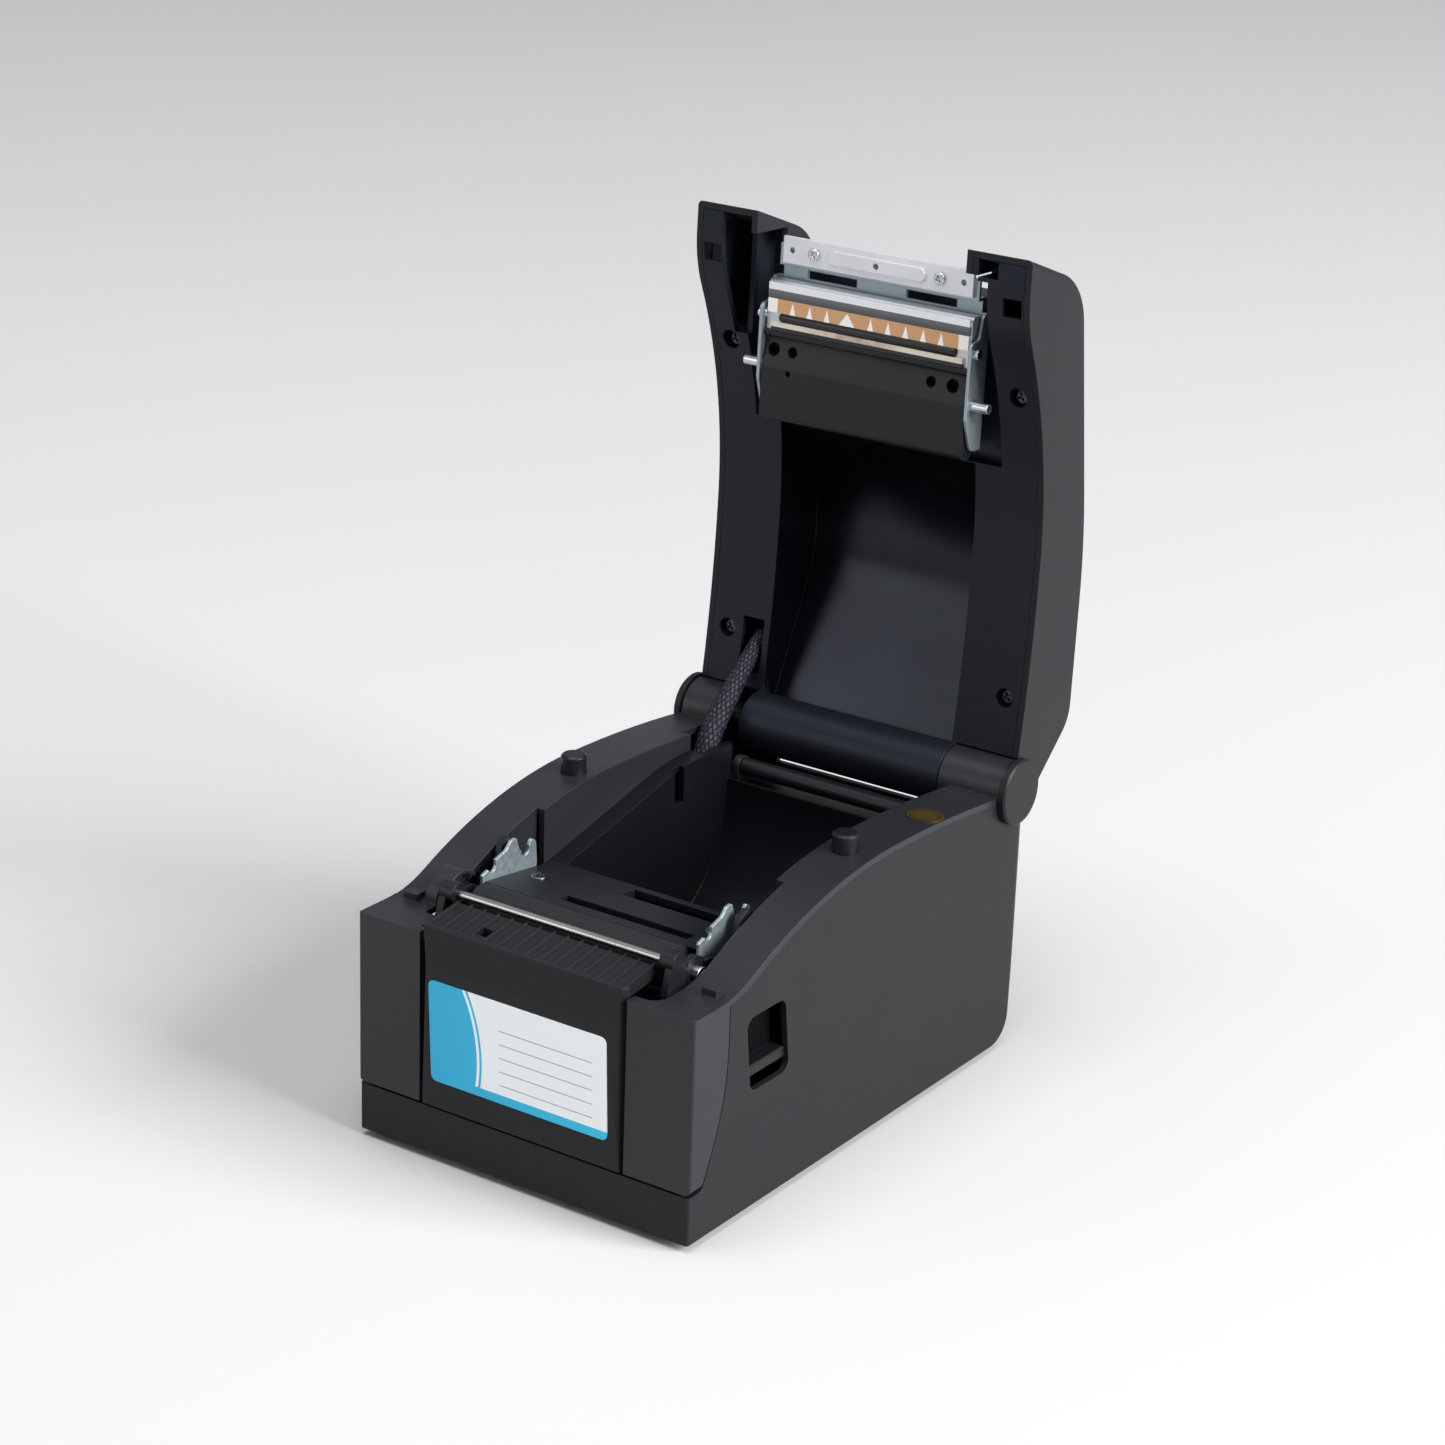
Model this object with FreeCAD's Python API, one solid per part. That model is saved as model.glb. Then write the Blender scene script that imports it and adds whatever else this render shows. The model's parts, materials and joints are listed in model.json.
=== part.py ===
"""Desktop thermal label printer with its cover standing open.

Millimetres. +Z is up, the front faces -Y and the table is Z = 0. Every piece is drawn with the
cover shut, because that is how the pieces have to meet, and the cover's pieces are then swung
back on the hinge to where the printer stands open. At the end all pieces are moved together so
that the origin is under the middle of the open printer.
"""
import FreeCAD, Part
import math
import os

# Case
FOOT_H = 3.0               # the case stands this far off the table
FOOT_R = 7.0
FOOT_SINK = 0.8            # depth of the recess that holds a foot
FOOT_Y = 84.0
CASE_W = 148.0             # across the two front pillars
HALF = CASE_W / 2
FOOT_X = HALF - 18.0
CASE_FRONT_Y = -108.0      # front of the pillars
CASE_REAR_Y = 107.4        # rear wall at the floor
CASE_STEP = 0.4            # the lower case stands in from the pillars at the sides
FRONT_STEP = 0.2           # and at the front
REAR_LEAN = 3.2            # degrees, the rear wall leans back
REAR_EDGE_R = 12.0         # round along the rear of the floor
FRONT_CORNER_R = 1.2
REAR_CORNER_R = 7.0
WALL = 2.5
SEAM = 1.0                 # open joint line between two mouldings
SNUG = 0.2                 # clearance between pieces that are fitted and stay put
RUN_FIT = 0.05             # radial clearance of a turning fit
SLIDE_FIT = 0.3            # clearance round a sliding piece
PRESS_FIT = 0.02           # radial clearance of a pressed pin

# Rim: level at the front, then a hollow and a swell up to the crown
RIM_FRONT_Z = 89.0
RIM_CROWN_Z = 113.5
RIM_FLAT_END_Y = -93.0
RIM_CROWN_Y = 15.0
RIM_HOLLOW_R = 50.0
RIM_REAR_R = 625.0
DECK_T = 2.5
BAY_RIM_X = HALF - 22.0    # inner edge of the rim beside the roll
ENGINE_RIM_X = HALF - 18.5 # inner edge of the rim beside the print engine
SKIRT_Z = 84.0             # the rim's inner skirts and rear bar reach down to here

# Front pillars
PILLAR_FOOT_Z = 22.4
PILLAR_REAR_Y = -87.0      # joint line on the side, above the bend
PILLAR_TOE_Y = -101.0      # joint line at the pillar's foot
PILLAR_BEND_Z = 53.0
PILLAR_BEND_R = 90.0
PILLAR_TOE_R = 4.0
PILLAR_FOOT_R = 2.5        # round at the outer corner of a pillar's foot
POCKET_REAR_Y = -62.0      # open pocket in each pillar's top, beside the platen
POCKET_FRONT_Y = -103.5
PEG_X = HALF - 8.0         # locating pegs on the pillars
PEG_Y = -86.0
PEG_LX = 6.0
PEG_LY = 5.0
PEG_H = 3.0

# Hinge
HINGE_Y = 102.0
HINGE_Z = 108.5
KNUCKLE_R = 12.0
LEFT_KNUCKLE_X = HALF - 17.0   # the left knuckle is short, to let the harness pass
BARREL_HALF = HALF - 28.0
HINGE_PIN_R = 4.0
HINGE_PIN_IN_X = HALF - 44 # the pins reach in to here
HINGE_CAP_R = 13.0
HINGE_CAP_T = 3.0
SIDE_PLAY = 0.5
SWING_GAP = 0.6
COVER_SWING = 92.3         # degrees from shut to open

# Roll bay
ROLL_Y = 28.0
ROLL_Z = 88.0
BAY_R = 53.0
BAY_HALF = HALF - 30.0
BAY_T = 2.5
LEDGE_FRONT_Z = 87.0
LEDGE_REAR_Z = 105.0
LEDGE_BEND_Y = 50.0
LEDGE_BEND_R = 90.0
NOTCH_Y = 48.0             # upright notches in the bay walls
NOTCH_W = 6.0
NOTCH_FOOT_Z = 90.0

# Rear paper slot and guide roller
SLOT_HALF = HALF - 34.0
SLOT_Z = 90.0
GUIDE_Y = 87.0
GUIDE_Z = 95.0
GUIDE_R = 3.5
GUIDE_HALF = HALF - 34.0
GUIDE_PIN_R = 2.0
GUIDE_EAR_T = 3.0

# Front bezel
BEZEL_HALF = HALF - 29.4
BEZEL_BACK_Y = -104.5
BEZEL_SIDE_Y = -105.0      # root of the grooves between the bezel and the pillars
BEZEL_LUG_ZS = (28.0, 58.0)    # feet of the lugs that hold the bezel between the pillars
BEZEL_LUG_H = 12.0
BEZEL_FOOT_HALF = HALF - 30.0
BEZEL_FOOT_Y = -108.3
BEZEL_BEAK_Z = 78.2
BEZEL_BEAK_Y = -110.9
BEZEL_BEAK_HALF = HALF - 33.5
BEZEL_BROW_Z = 92.4
BEZEL_BROW_Y = -108.2
BEZEL_BROW_HALF = HALF - 30.4
RAMP_END_Y = -89.0
RAMP_END_Z = 95.4
RIB_COUNT = 15
RIB_T = 0.8
RIB_DEPTH = 0.7
EYE_X = -22.0              # small square window in the ramp
EYE_Y = -100.7
EYE_W = 5.0

# Front label
LABEL_HALF = HALF - 34.7
LABEL_LOW = 11.0           # up the panel from its foot
LABEL_H = 40.3
LABEL_T = 0.3
LABEL_R = 2.5

# Print engine
PLATEN_Y = -76.0
PLATEN_Z = 89.5
PLATEN_R = 8.0
PLATEN_HALF = HALF - 30.5
SHAFT_R = 3.0
SHAFT_RIGHT_X = HALF - 19.5
BUSH_R = 5.0
CHEEK_X = HALF - 25.4      # inner face of the engine's side cheeks
CHEEK_T = 3.0
CHEEK_FRONT_Y = -93.0
CHEEK_REAR_Y = -29.0
CHEEK_TOP_Z = 92.0
TIE_T = 3.0                # front wall that ties the cheeks
BEAM_W = 6.0
ROD_Y = -85.9
ROD_Z = 96.3
ROD_R = 1.5
ROD_BOSS_R = 4.2           # rounded bosses that hold the rod's ends
ROD_BOSS_IN = 3.0          # they stand in from the cheeks
GUIDE_PLATE_FRONT_Y = -69.0
GUIDE_PLATE_FRONT_Z = 95.0
GUIDE_PLATE_REAR_Z = 90.0
GUIDE_PLATE_T = 3.0
GUIDE_PLATE_EDGE = 0.8     # thickness of its front edge, over the platen
GUIDE_SCREW_X = HALF - 35.0
TRACK_Y = -36.0            # sensor's slot in the guide plate
TRACK_W = 9.0
TRACK_X0 = -20.0
TRACK_X1 = TRACK_X0 + 58.0
GROOVE_Y = -60.0           # slot behind the platen
GROOVE_W = 6.0
GROOVE_X0 = -18.5
GROOVE_X1 = GROOVE_X0 + 57.0
SENSOR_L = 13.0
SENSOR_TRAVEL = 44.0

# Latch plates and hooks
LATCH_T = 1.2
PIN_R = 2.0                # pins of the print head unit that the latch plates hold
PIN_FRONT_Y = -64.5
PIN_FRONT_Z = 99.5
PIN_REAR_Y = -45.0
PIN_REAR_Z = 99.7
LATCH_FOOT_Z = 80.0
HOOK_Y = -57.0
HOOK_Z = 72.0
HOOK_T = 2.6
HOOK_STUD_R = 2.5
HOOK_HUB_R = 5.5
HOOK_SWING = 12.0

# Release buttons in the side windows: (y, z) of a window's corners
WINDOW_TOP_Z = 77.5
WINDOW_FOOT_Z = 48.5
WINDOW_FRONT_Y = -75.6
WINDOW_REAR_Y = -51.6
WINDOW_SLANT = 3.8         # the foot stands further back than the top
WINDOW_R = 4.0
BUTTON_T = 5.0
BUTTON_SINK = 3.0
BUTTON_TRAVEL = 3.0
BUTTON_STEM_R = 4.0
SCOOP_R = 16.0

# Gears, along the left cheek
MODULE = 0.8
PLATEN_TEETH = 20
IDLER_TEETH = 28
PINION_TEETH = 10
GEAR_T = 3.6
GEAR_X = 15.4 - HALF       # outer face of the gears
IDLER_ANGLE = -82.0        # direction from the platen to the idler, degrees in (y, z)
MOTOR_ANGLE = -65.0
MESH_PLAY = 0.12
IDLER_PIN_R = 2.0
MOTOR_R = 15.5
MOTOR_L = 20.0
MOTOR_EAR = 4.0
MOTOR_SHAFT_R = 1.5
HOOD_T = 1.2
GEAR_ROOM = 0.8            # free space round the platen gear in its hood

# Cover
COVER_HALF = HALF - 0.6
COVER_T = 2.5
COVER_GAP = 0.5            # between the shut cover and the rim
COVER_EDGE_R = 2.0
COVER_FRONT_Y = -105.0
COVER_BROW_Y = -91.5
COVER_BROW_Z = 130.4
COVER_BROW_R = 25.0
COVER_CREST_Y = 13.0
COVER_CREST_Z = 149.0
COVER_CREST_R = 250.0
COVER_TAIL_Y = 83.0
COVER_TAIL_R = 16.0
COVER_TAIL_ANGLE = 80.0    # where the tail ends round the hinge, degrees
COVER_TAIL_REACH = 18.0
MOUTH_HALF = HALF - 28.0
MOUTH_Y = -82.0
MOUTH_WALL_Y = -91.0       # the mouth's side walls end here, ahead of the rod
HEAD_BAY_REAR_Y = -21.0
HEAD_ROOF_Z = 117.0
POCKET_GAP = 0.5           # the cover's roll pocket over the bay's radius
COVER_SCREW_X = HALF - 10.0
COVER_SCREW_YS = (-50.5, 68.0)
SCREW_HEAD_R = 3.0
SCREW_HEAD_H = 2.0
SCREW_SINK = 2.5           # the cover's screws lie this deep in their holes
SCREW_ROOM = 0.8           # and have this much room round the head

# Print head unit
NIP = 0.3                  # between the shut head and the platen
HEAD_HALF = HALF - 28.8
SUBSTRATE_T = 1.0
SUBSTRATE_HALF = HALF - 29.5
SUBSTRATE_FRONT_Y = -77.2
SUBSTRATE_REAR_Y = -65.6
HEAT_SINK_FRONT_Y = -77.9
HEAT_SINK_REAR_Y = -58.7
HEAT_SINK_H = 6.5
BEAD_R = 1.7
BEAD_HALF = HALF - 31.5
HEAD_COVER_REAR_Y = -23.7
HEAD_COVER_LEDGE = 2.0     # ledge along its front edge
HEAD_COVER_HOLLOW = 2.4    # depth of the hollow behind the ledge
HEAD_COVER_CREASE = 14.2   # from its front edge to where it lies flat
HEAD_COVER_H = 6.0
HEAD_FLOAT = 1.2           # the head gives by this much against its springs
BRACKET_X = HALF - 28.2    # inner face of the bracket's side plates
BRACKET_T = 1.2
BRACKET_REAR_Y = -27.0
BRACKET_POST_R = 4.0       # posts of the cover that the bracket is screwed to
BRACKET_POST_X = HALF - 44.0
BRACKET_POST_YS = (-70.0, -36.0)
TEAR_HALF = HALF - 31.9
TEAR_PAD_HALF = TEAR_HALF - 20.5
TEAR_SCREW_X = TEAR_HALF - 14.3
TEAR_HOLE_X = TEAR_HALF - 4.1
TEAR_FRONT_Y = -94.4
TEAR_REAR_Y = -84.2
TEAR_Z = 102.3
TEAR_T = 1.5

# Plungers that lift the cover
PLUNGER_X = HALF - 12.7
PLUNGER_Y = 2.5
PLUNGER_R = 4.9
PLUNGER_RISE = 7.0
PLUNGER_FLANGE_R = 6.4
PLUNGER_FLANGE_T = 2.0
PLUNGER_CUP_T = 1.5

# Cover keys and lights
KEY_R = 6.0
KEY_X = HALF - 24.0
KEY_Y = -38.0
KEY_PITCH = 20.0
KEY_RISE = 1.2
KEY_TRAVEL = 0.8
KEY_FLANGE = 1.5           # flange that keeps a key in the cover
KEY_FLANGE_T = 1.2
LIGHT_R = 1.5
LIGHT_X = KEY_X - 14.0
LIGHT_PITCH = 7.0

# Harness between the base and the cover
HARNESS_R = 4.2
HARNESS_X = -BAY_HALF - BAY_T - HARNESS_R - 0.3
HARNESS_ROUTE = ((-30.0, -18.5), (-27.4, -4.1), (-7.5, 15.8), (11.5, 33.0))   # (y, z) from the hinge
HARNESS_ROOM = 1.5         # free space round the sleeve in its slots
HARNESS_ENTRY_Y = 72.5     # middle of its slot in the shut cover
HARNESS_ENTRY_L = 22.0

# Electronics at the rear
BOARD_T = 1.6
BOARD_Z = 19.0
BOARD_HALF = HALF - 29.0
BOARD_FRONT_Y = 20.0
BOARD_REAR_GAP = 2.0
USB_X = 10.0
USB_W = 12.0
USB_H = 11.0
USB_L = 16.0
JACK_X = -14.0
JACK_W = 9.0
JACK_H = 11.0
JACK_L = 14.0
SWITCH_X = 28.0 - HALF
SWITCH_Z = 34.0
SWITCH_W = 19.0
SWITCH_H = 13.0
SWITCH_L = 15.0
ROCKER_TILT = 9.0          # degrees to each side of the middle
ROCKER_DEPTH = 5.0         # from the switch's face in to the rocker's pivot

# Small trim
DOT_X = HALF - 8.0
DOT_Y = 50.0
DOT_R = 7.0
DOT_T = 0.3

# Worked out from the sizes above
FAR = 400.0
FLOOR_Z = FOOT_H + WALL
SIDE_X = HALF - CASE_STEP
RIM_TURN = 2 * math.atan2(RIM_CROWN_Z - RIM_FRONT_Z, RIM_CROWN_Y - RIM_FLAT_END_Y)
RIM_SWELL_R = (RIM_CROWN_Y - RIM_FLAT_END_Y) / math.sin(RIM_TURN) - RIM_HOLLOW_R
NIP_Z = PLATEN_Z + PLATEN_R + NIP
HEAD_Z = NIP_Z + SUBSTRATE_T
LATCH_X = CHEEK_X - LATCH_T
CHEEK_OUT_X = CHEEK_X + CHEEK_T
REAR_SLOPE = math.tan(math.radians(REAR_LEAN))
BAY_FRONT_Y = ROLL_Y - BAY_R - BAY_T
BAY_REAR_Y = ROLL_Y + BAY_R + BAY_T
GUIDE_PLATE_REAR_Y = BAY_FRONT_Y - SNUG


def vec(x, y, z):
    return FreeCAD.Vector(x, y, z)


def box(x0, x1, y0, y1, z0, z1):
    return Part.makeBox(x1 - x0, y1 - y0, z1 - z0, vec(x0, y0, z0))


def rod_x(r, x0, x1, y, z):
    return Part.makeCylinder(r, x1 - x0, vec(x0, y, z), vec(1, 0, 0))


def rod_y(r, y0, y1, x, z):
    return Part.makeCylinder(r, y1 - y0, vec(x, y0, z), vec(0, 1, 0))


def rod_z(r, z0, z1, x, y):
    return Part.makeCylinder(r, z1 - z0, vec(x, y, z0), vec(0, 0, 1))


def mirror_x(shape):
    return shape.mirror(vec(0, 0, 0), vec(1, 0, 0))


def both_sides(shape):
    return [shape, mirror_x(shape)]


def turn_x(shape, degrees, y, z):
    turned = shape.copy()
    turned.rotate(vec(0, y, z), vec(1, 0, 0), degrees)
    return turned


def opened(shape):
    """Swing a piece of the shut cover back to where the cover stands open."""
    return turn_x(shape, -COVER_SWING, HINGE_Y, HINGE_Z)


# Outlines: closed chains of corners (a, b, radius), rounded by tangent arcs
def unit(a, b):
    length = math.hypot(b[0] - a[0], b[1] - a[1])
    return (b[0] - a[0]) / length, (b[1] - a[1]) / length


def corner_points(before, corner, after):
    """Start, middle and end of the arc that rounds a corner, or the corner alone."""
    radius = corner[2] if len(corner) > 2 else 0.0
    back, ahead = unit(corner, before), unit(corner, after)
    cosine = back[0] * ahead[0] + back[1] * ahead[1]
    if radius <= 0 or cosine < -0.999999:
        return [corner[:2]]
    half = math.acos(max(-1.0, min(1.0, cosine))) / 2
    reach = radius / math.tan(half)
    way = (back[0] + ahead[0], back[1] + ahead[1])
    size = math.hypot(*way)
    inward = radius / math.sin(half) - radius
    return [
        (corner[0] + back[0] * reach, corner[1] + back[1] * reach),
        (corner[0] + way[0] / size * inward, corner[1] + way[1] / size * inward),
        (corner[0] + ahead[0] * reach, corner[1] + ahead[1] * reach),
    ]


def outline(corners, place):
    count = len(corners)
    spans = [
        corner_points(corners[i - 1], corners[i], corners[(i + 1) % count]) for i in range(count)
    ]
    edges = []
    for i, span in enumerate(spans):
        points = [place(*p) for p in span]
        if len(points) == 3:
            edges.append(Part.Arc(*points).toShape())
        start, end = points[-1], place(*spans[(i + 1) % count][0])
        if start.distanceToPoint(end) > 1e-6:
            edges.append(Part.LineSegment(start, end).toShape())
    return Part.Face(Part.Wire(edges))


def prism_x(corners, x0, x1):
    return outline(corners, lambda a, b: vec(x0, a, b)).extrude(vec(x1 - x0, 0, 0))


def prism_y(corners, y0, y1):
    return outline(corners, lambda a, b: vec(a, y0, b)).extrude(vec(0, y1 - y0, 0))


def prism_z(corners, z0, z1):
    return outline(corners, lambda a, b: vec(a, b, z0)).extrude(vec(0, 0, z1 - z0))


def inset(corners, depth):
    """The same outline, drawn counter-clockwise, with every side moved in by depth."""
    count = len(corners)
    lines = []
    for i in range(count):
        a, b = corners[i], corners[(i + 1) % count]
        ux, uy = unit(a, b)
        lines.append((a[0] - uy * depth, a[1] + ux * depth, ux, uy))
    moved = []
    for i in range(count):
        (ax, ay, aux, auy), (bx, by, bux, buy) = lines[i - 1], lines[i]
        cross = aux * buy - auy * bux
        t = ((bx - ax) * buy - (by - ay) * bux) / cross
        radius = corners[i][2] if len(corners[i]) > 2 else 0.0
        radius = max(radius - math.copysign(depth, cross), 0.0) if radius else 0.0
        moved.append((ax + aux * t, ay + auy * t, radius))
    return moved


# Rim line
def rim_z(y, lift=0.0):
    if y <= RIM_FLAT_END_Y:
        return RIM_FRONT_Z + lift
    hollow = RIM_HOLLOW_R - lift
    if y <= RIM_FLAT_END_Y + hollow * math.sin(RIM_TURN):
        return RIM_FRONT_Z + RIM_HOLLOW_R - math.sqrt(hollow ** 2 - (y - RIM_FLAT_END_Y) ** 2)
    radius = RIM_SWELL_R if y <= RIM_CROWN_Y else RIM_REAR_R
    return RIM_CROWN_Z - radius + math.sqrt((radius + lift) ** 2 - (y - RIM_CROWN_Y) ** 2)


def rim_edges(lift, x, y_front, y_rear):
    def swept(cy, cz, radius, first, last, side):
        points = []
        for share in (0.0, 0.5, 1.0):
            t = first + (last - first) * share
            points.append(vec(x, cy - side * radius * math.sin(t), cz + side * radius * math.cos(t)))
        return Part.Arc(*points).toShape()

    last = math.asin((y_rear - RIM_CROWN_Y) / (RIM_REAR_R + lift))
    start = vec(x, y_front, RIM_FRONT_Z + lift)
    flat = vec(x, RIM_FLAT_END_Y, RIM_FRONT_Z + lift)
    hollow_z, swell_z = RIM_FRONT_Z + RIM_HOLLOW_R, RIM_CROWN_Z - RIM_SWELL_R
    return [
        Part.LineSegment(start, flat).toShape(),
        swept(RIM_FLAT_END_Y, hollow_z, RIM_HOLLOW_R - lift, 0.0, RIM_TURN, -1),
        swept(RIM_CROWN_Y, swell_z, RIM_SWELL_R + lift, RIM_TURN, 0.0, 1),
        swept(RIM_CROWN_Y, RIM_CROWN_Z - RIM_REAR_R, RIM_REAR_R + lift, 0.0, -last, 1),
    ]


def under_rim(lift, x0, x1):
    """All that lies under the rim line moved out by lift."""
    y_front, y_rear = -2 * HALF, 2 * HALF
    edges = rim_edges(lift, x0, y_front, y_rear)
    corners = [
        vec(x0, y_rear, rim_z(y_rear, lift)),
        vec(x0, y_rear, -FOOT_H),
        vec(x0, y_front, -FOOT_H),
        vec(x0, y_front, RIM_FRONT_Z + lift),
    ]
    for a, b in zip(corners, corners[1:]):
        edges.append(Part.LineSegment(a, b).toShape())
    return Part.Face(Part.Wire(edges)).extrude(vec(x1 - x0, 0, 0))


# Case
def rear_y(z):
    return CASE_REAR_Y + (z - FOOT_H) * REAR_SLOPE


def case_block(half, front_y, depth, floor_z):
    """The case's outer form, with walls moved in by depth."""
    top_z = RIM_CROWN_Z + 10
    plan = [
        (-half, front_y, FRONT_CORNER_R),
        (half, front_y, FRONT_CORNER_R),
        (half, rear_y(RIM_CROWN_Z), REAR_CORNER_R),
        (-half, rear_y(RIM_CROWN_Z), REAR_CORNER_R),
    ]
    side = [
        (front_y, FOOT_H),
        (rear_y(FOOT_H), FOOT_H, REAR_EDGE_R),
        (rear_y(top_z), top_z),
        (front_y, top_z),
    ]
    block = prism_z(inset(plan, depth), floor_z, top_z)
    return block.common(prism_x(inset(side, depth), -half, half))


def front_zone(grow):
    """Where the pillars are, seen from the side: ahead of the joint line."""
    rear, toe, foot = PILLAR_REAR_Y + grow, PILLAR_TOE_Y + grow, PILLAR_FOOT_Z - grow
    return prism_x(
        [
            (-FAR, foot),
            (toe, foot, PILLAR_TOE_R),
            (rear, PILLAR_BEND_Z, PILLAR_BEND_R),
            (rear, FAR),
            (-FAR, FAR),
        ],
        -FAR,
        FAR,
    )


def window(gap, x0, x1):
    corners = [
        (WINDOW_FRONT_Y, WINDOW_TOP_Z, WINDOW_R),
        (WINDOW_FRONT_Y + WINDOW_SLANT, WINDOW_FOOT_Z, WINDOW_R),
        (WINDOW_REAR_Y + WINDOW_SLANT, WINDOW_FOOT_Z, WINDOW_R),
        (WINDOW_REAR_Y, WINDOW_TOP_Z, WINDOW_R),
    ]
    return prism_x(inset(corners, gap), x0, x1)


def foot_places():
    return [(sx * FOOT_X, sy * FOOT_Y) for sx in (-1, 1) for sy in (-1, 1)]


def case_screw_places():
    return [(sx * (FOOT_X + 6), sy * (FOOT_Y - 16)) for sx in (-1, 1) for sy in (-1, 1)]


def board_posts():
    front, rear = BOARD_FRONT_Y + 6, rear_y(BOARD_Z) - WALL - BOARD_REAR_GAP - 6
    return [(sx * (BOARD_HALF - 5), y) for sx in (-1, 1) for y in (front, rear)]


def barrel_space(gap):
    reach = BARREL_HALF + SIDE_PLAY
    return rod_x(KNUCKLE_R + gap, -reach, reach, HINGE_Y, HINGE_Z)


def lower_case():
    front_y = CASE_FRONT_Y + FRONT_STEP
    shell = case_block(SIDE_X, front_y, 0.0, FOOT_H).common(under_rim(-DECK_T, -FAR, FAR))
    shell = shell.cut(case_block(SIDE_X, front_y, WALL, FLOOR_Z))
    posts = [rod_z(3.0, FLOOR_Z, BOARD_Z, x, y) for x, y in board_posts()]
    shell = shell.fuse(posts)
    cuts = [front_zone(SEAM), barrel_space(SWING_GAP)]
    cuts += both_sides(rod_x(KNUCKLE_R + SNUG, BARREL_HALF, HALF, HINGE_Y, HINGE_Z))
    cuts.append(box(-SLOT_HALF, SLOT_HALF, GUIDE_Y, FAR, SLOT_Z, FAR))
    cuts += both_sides(window(0.0, SIDE_X - 2 * WALL, HALF))
    wall_y = rear_y(BOARD_Z) - 3 * WALL
    usb_z, jack_z = BOARD_Z + BOARD_T, BOARD_Z + BOARD_T
    cuts.append(box(USB_X - USB_W / 2 - SNUG, USB_X + USB_W / 2 + SNUG, wall_y, FAR,
                    usb_z - SNUG, usb_z + USB_H + SNUG))
    cuts.append(rod_y(JACK_W / 2 - 1, wall_y, FAR, JACK_X, jack_z + JACK_H / 2))
    cuts.append(box(SWITCH_X - SWITCH_W / 2, SWITCH_X + SWITCH_W / 2, wall_y, FAR,
                    SWITCH_Z - SWITCH_H / 2, SWITCH_Z + SWITCH_H / 2))
    for x, y in foot_places():
        cuts.append(rod_z(FOOT_R + SNUG, FOOT_H - 1, FOOT_H + FOOT_SINK, x, y))
    for x, y in case_screw_places():
        cuts.append(rod_z(SCREW_HEAD_R + SNUG, FOOT_H - 1, FOOT_H + SCREW_HEAD_H / 2, x, y))
    for i in range(7):
        slot_y = 30.0 + 8.0 * i
        cuts.append(box(-18.0, 18.0, slot_y, slot_y + 3.0, FOOT_H - 1, FLOOR_Z + 1))
    return shell.cut(cuts)


def rubber_feet():
    return [rod_z(FOOT_R, 0.0, FOOT_H + FOOT_SINK, x, y) for x, y in foot_places()]


def case_screws():
    top = FOOT_H + SCREW_HEAD_H / 2
    return [rod_z(SCREW_HEAD_R, FOOT_H, top, x, y) for x, y in case_screw_places()]


# Upper deck: rim, pillars, knuckles
def pillar():
    """The right-hand pillar: a hollow corner moulding, open below and behind."""
    inner_x = BEZEL_HALF + SEAM
    block = case_block(HALF, CASE_FRONT_Y, 0.0, FOOT_H).common(front_zone(0.0))
    block = block.common(under_rim(0.0, inner_x, FAR))
    face = [(0, PILLAR_FOOT_Z), (HALF, PILLAR_FOOT_Z, PILLAR_FOOT_R), (HALF, FAR), (0, FAR)]
    block = block.common(prism_y(face, -FAR, FAR))
    hollow = case_block(HALF, CASE_FRONT_Y, WALL, FOOT_H - 1)
    hollow = hollow.common(under_rim(-DECK_T, inner_x + WALL, FAR))
    return block.cut(hollow)


def rim_side():
    """The right-hand rim plate, with its skirts beside the roll and the engine."""
    plan = box(ENGINE_RIM_X, SIDE_X, PILLAR_REAR_Y - 1, HINGE_Y, 0, FAR)
    plan = plan.fuse(box(BAY_RIM_X, SIDE_X, BAY_FRONT_Y, HINGE_Y, 0, FAR))
    plate = under_rim(0.0, 0.0, FAR).common(plan).cut(under_rim(-DECK_T, 0.0, FAR))
    roll_skirt = band(BAY_RIM_X, BAY_FRONT_Y, HINGE_Y)
    engine_skirt = band(ENGINE_RIM_X, POCKET_REAR_Y, BAY_FRONT_Y)
    return plate.fuse([roll_skirt, engine_skirt])


def band(x, y0, y1):
    """An upright wall under the rim, from the skirt's foot."""
    wall = box(x, x + WALL, y0, y1, SKIRT_Z, FAR)
    return wall.common(under_rim(0.0, x, x + WALL))


def cup_floor():
    return rim_z(PLUNGER_Y) - DECK_T - PLUNGER_FLANGE_T - PLUNGER_RISE - 2.0


def hood():
    """Raised hood over the platen gear, on the left rim."""
    radius = gear_outer_r(PLATEN_TEETH) + GEAR_ROOM + HOOD_T
    drum = rod_x(radius, GEAR_X - GEAR_ROOM - HOOD_T, -CHEEK_OUT_X - SNUG, PLATEN_Y, PLATEN_Z)
    return drum.cut(under_rim(-DECK_T, -FAR, FAR))


def gear_room():
    radius = gear_outer_r(PLATEN_TEETH) + GEAR_ROOM
    return rod_x(radius, GEAR_X - GEAR_ROOM, -BEZEL_HALF, PLATEN_Y, PLATEN_Z)


def pocket_right():
    """Open pocket in the right pillar's top, beside the platen's bearing."""
    inner_x = BEZEL_HALF + SEAM - 1
    corners = [
        (inner_x, POCKET_REAR_Y),
        (inner_x, POCKET_FRONT_Y),
        (ENGINE_RIM_X, POCKET_FRONT_Y, 6.0),
        (ENGINE_RIM_X, POCKET_REAR_Y),
    ]
    return prism_z(corners, SKIRT_Z - 10, RIM_FRONT_Z + 30)


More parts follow.
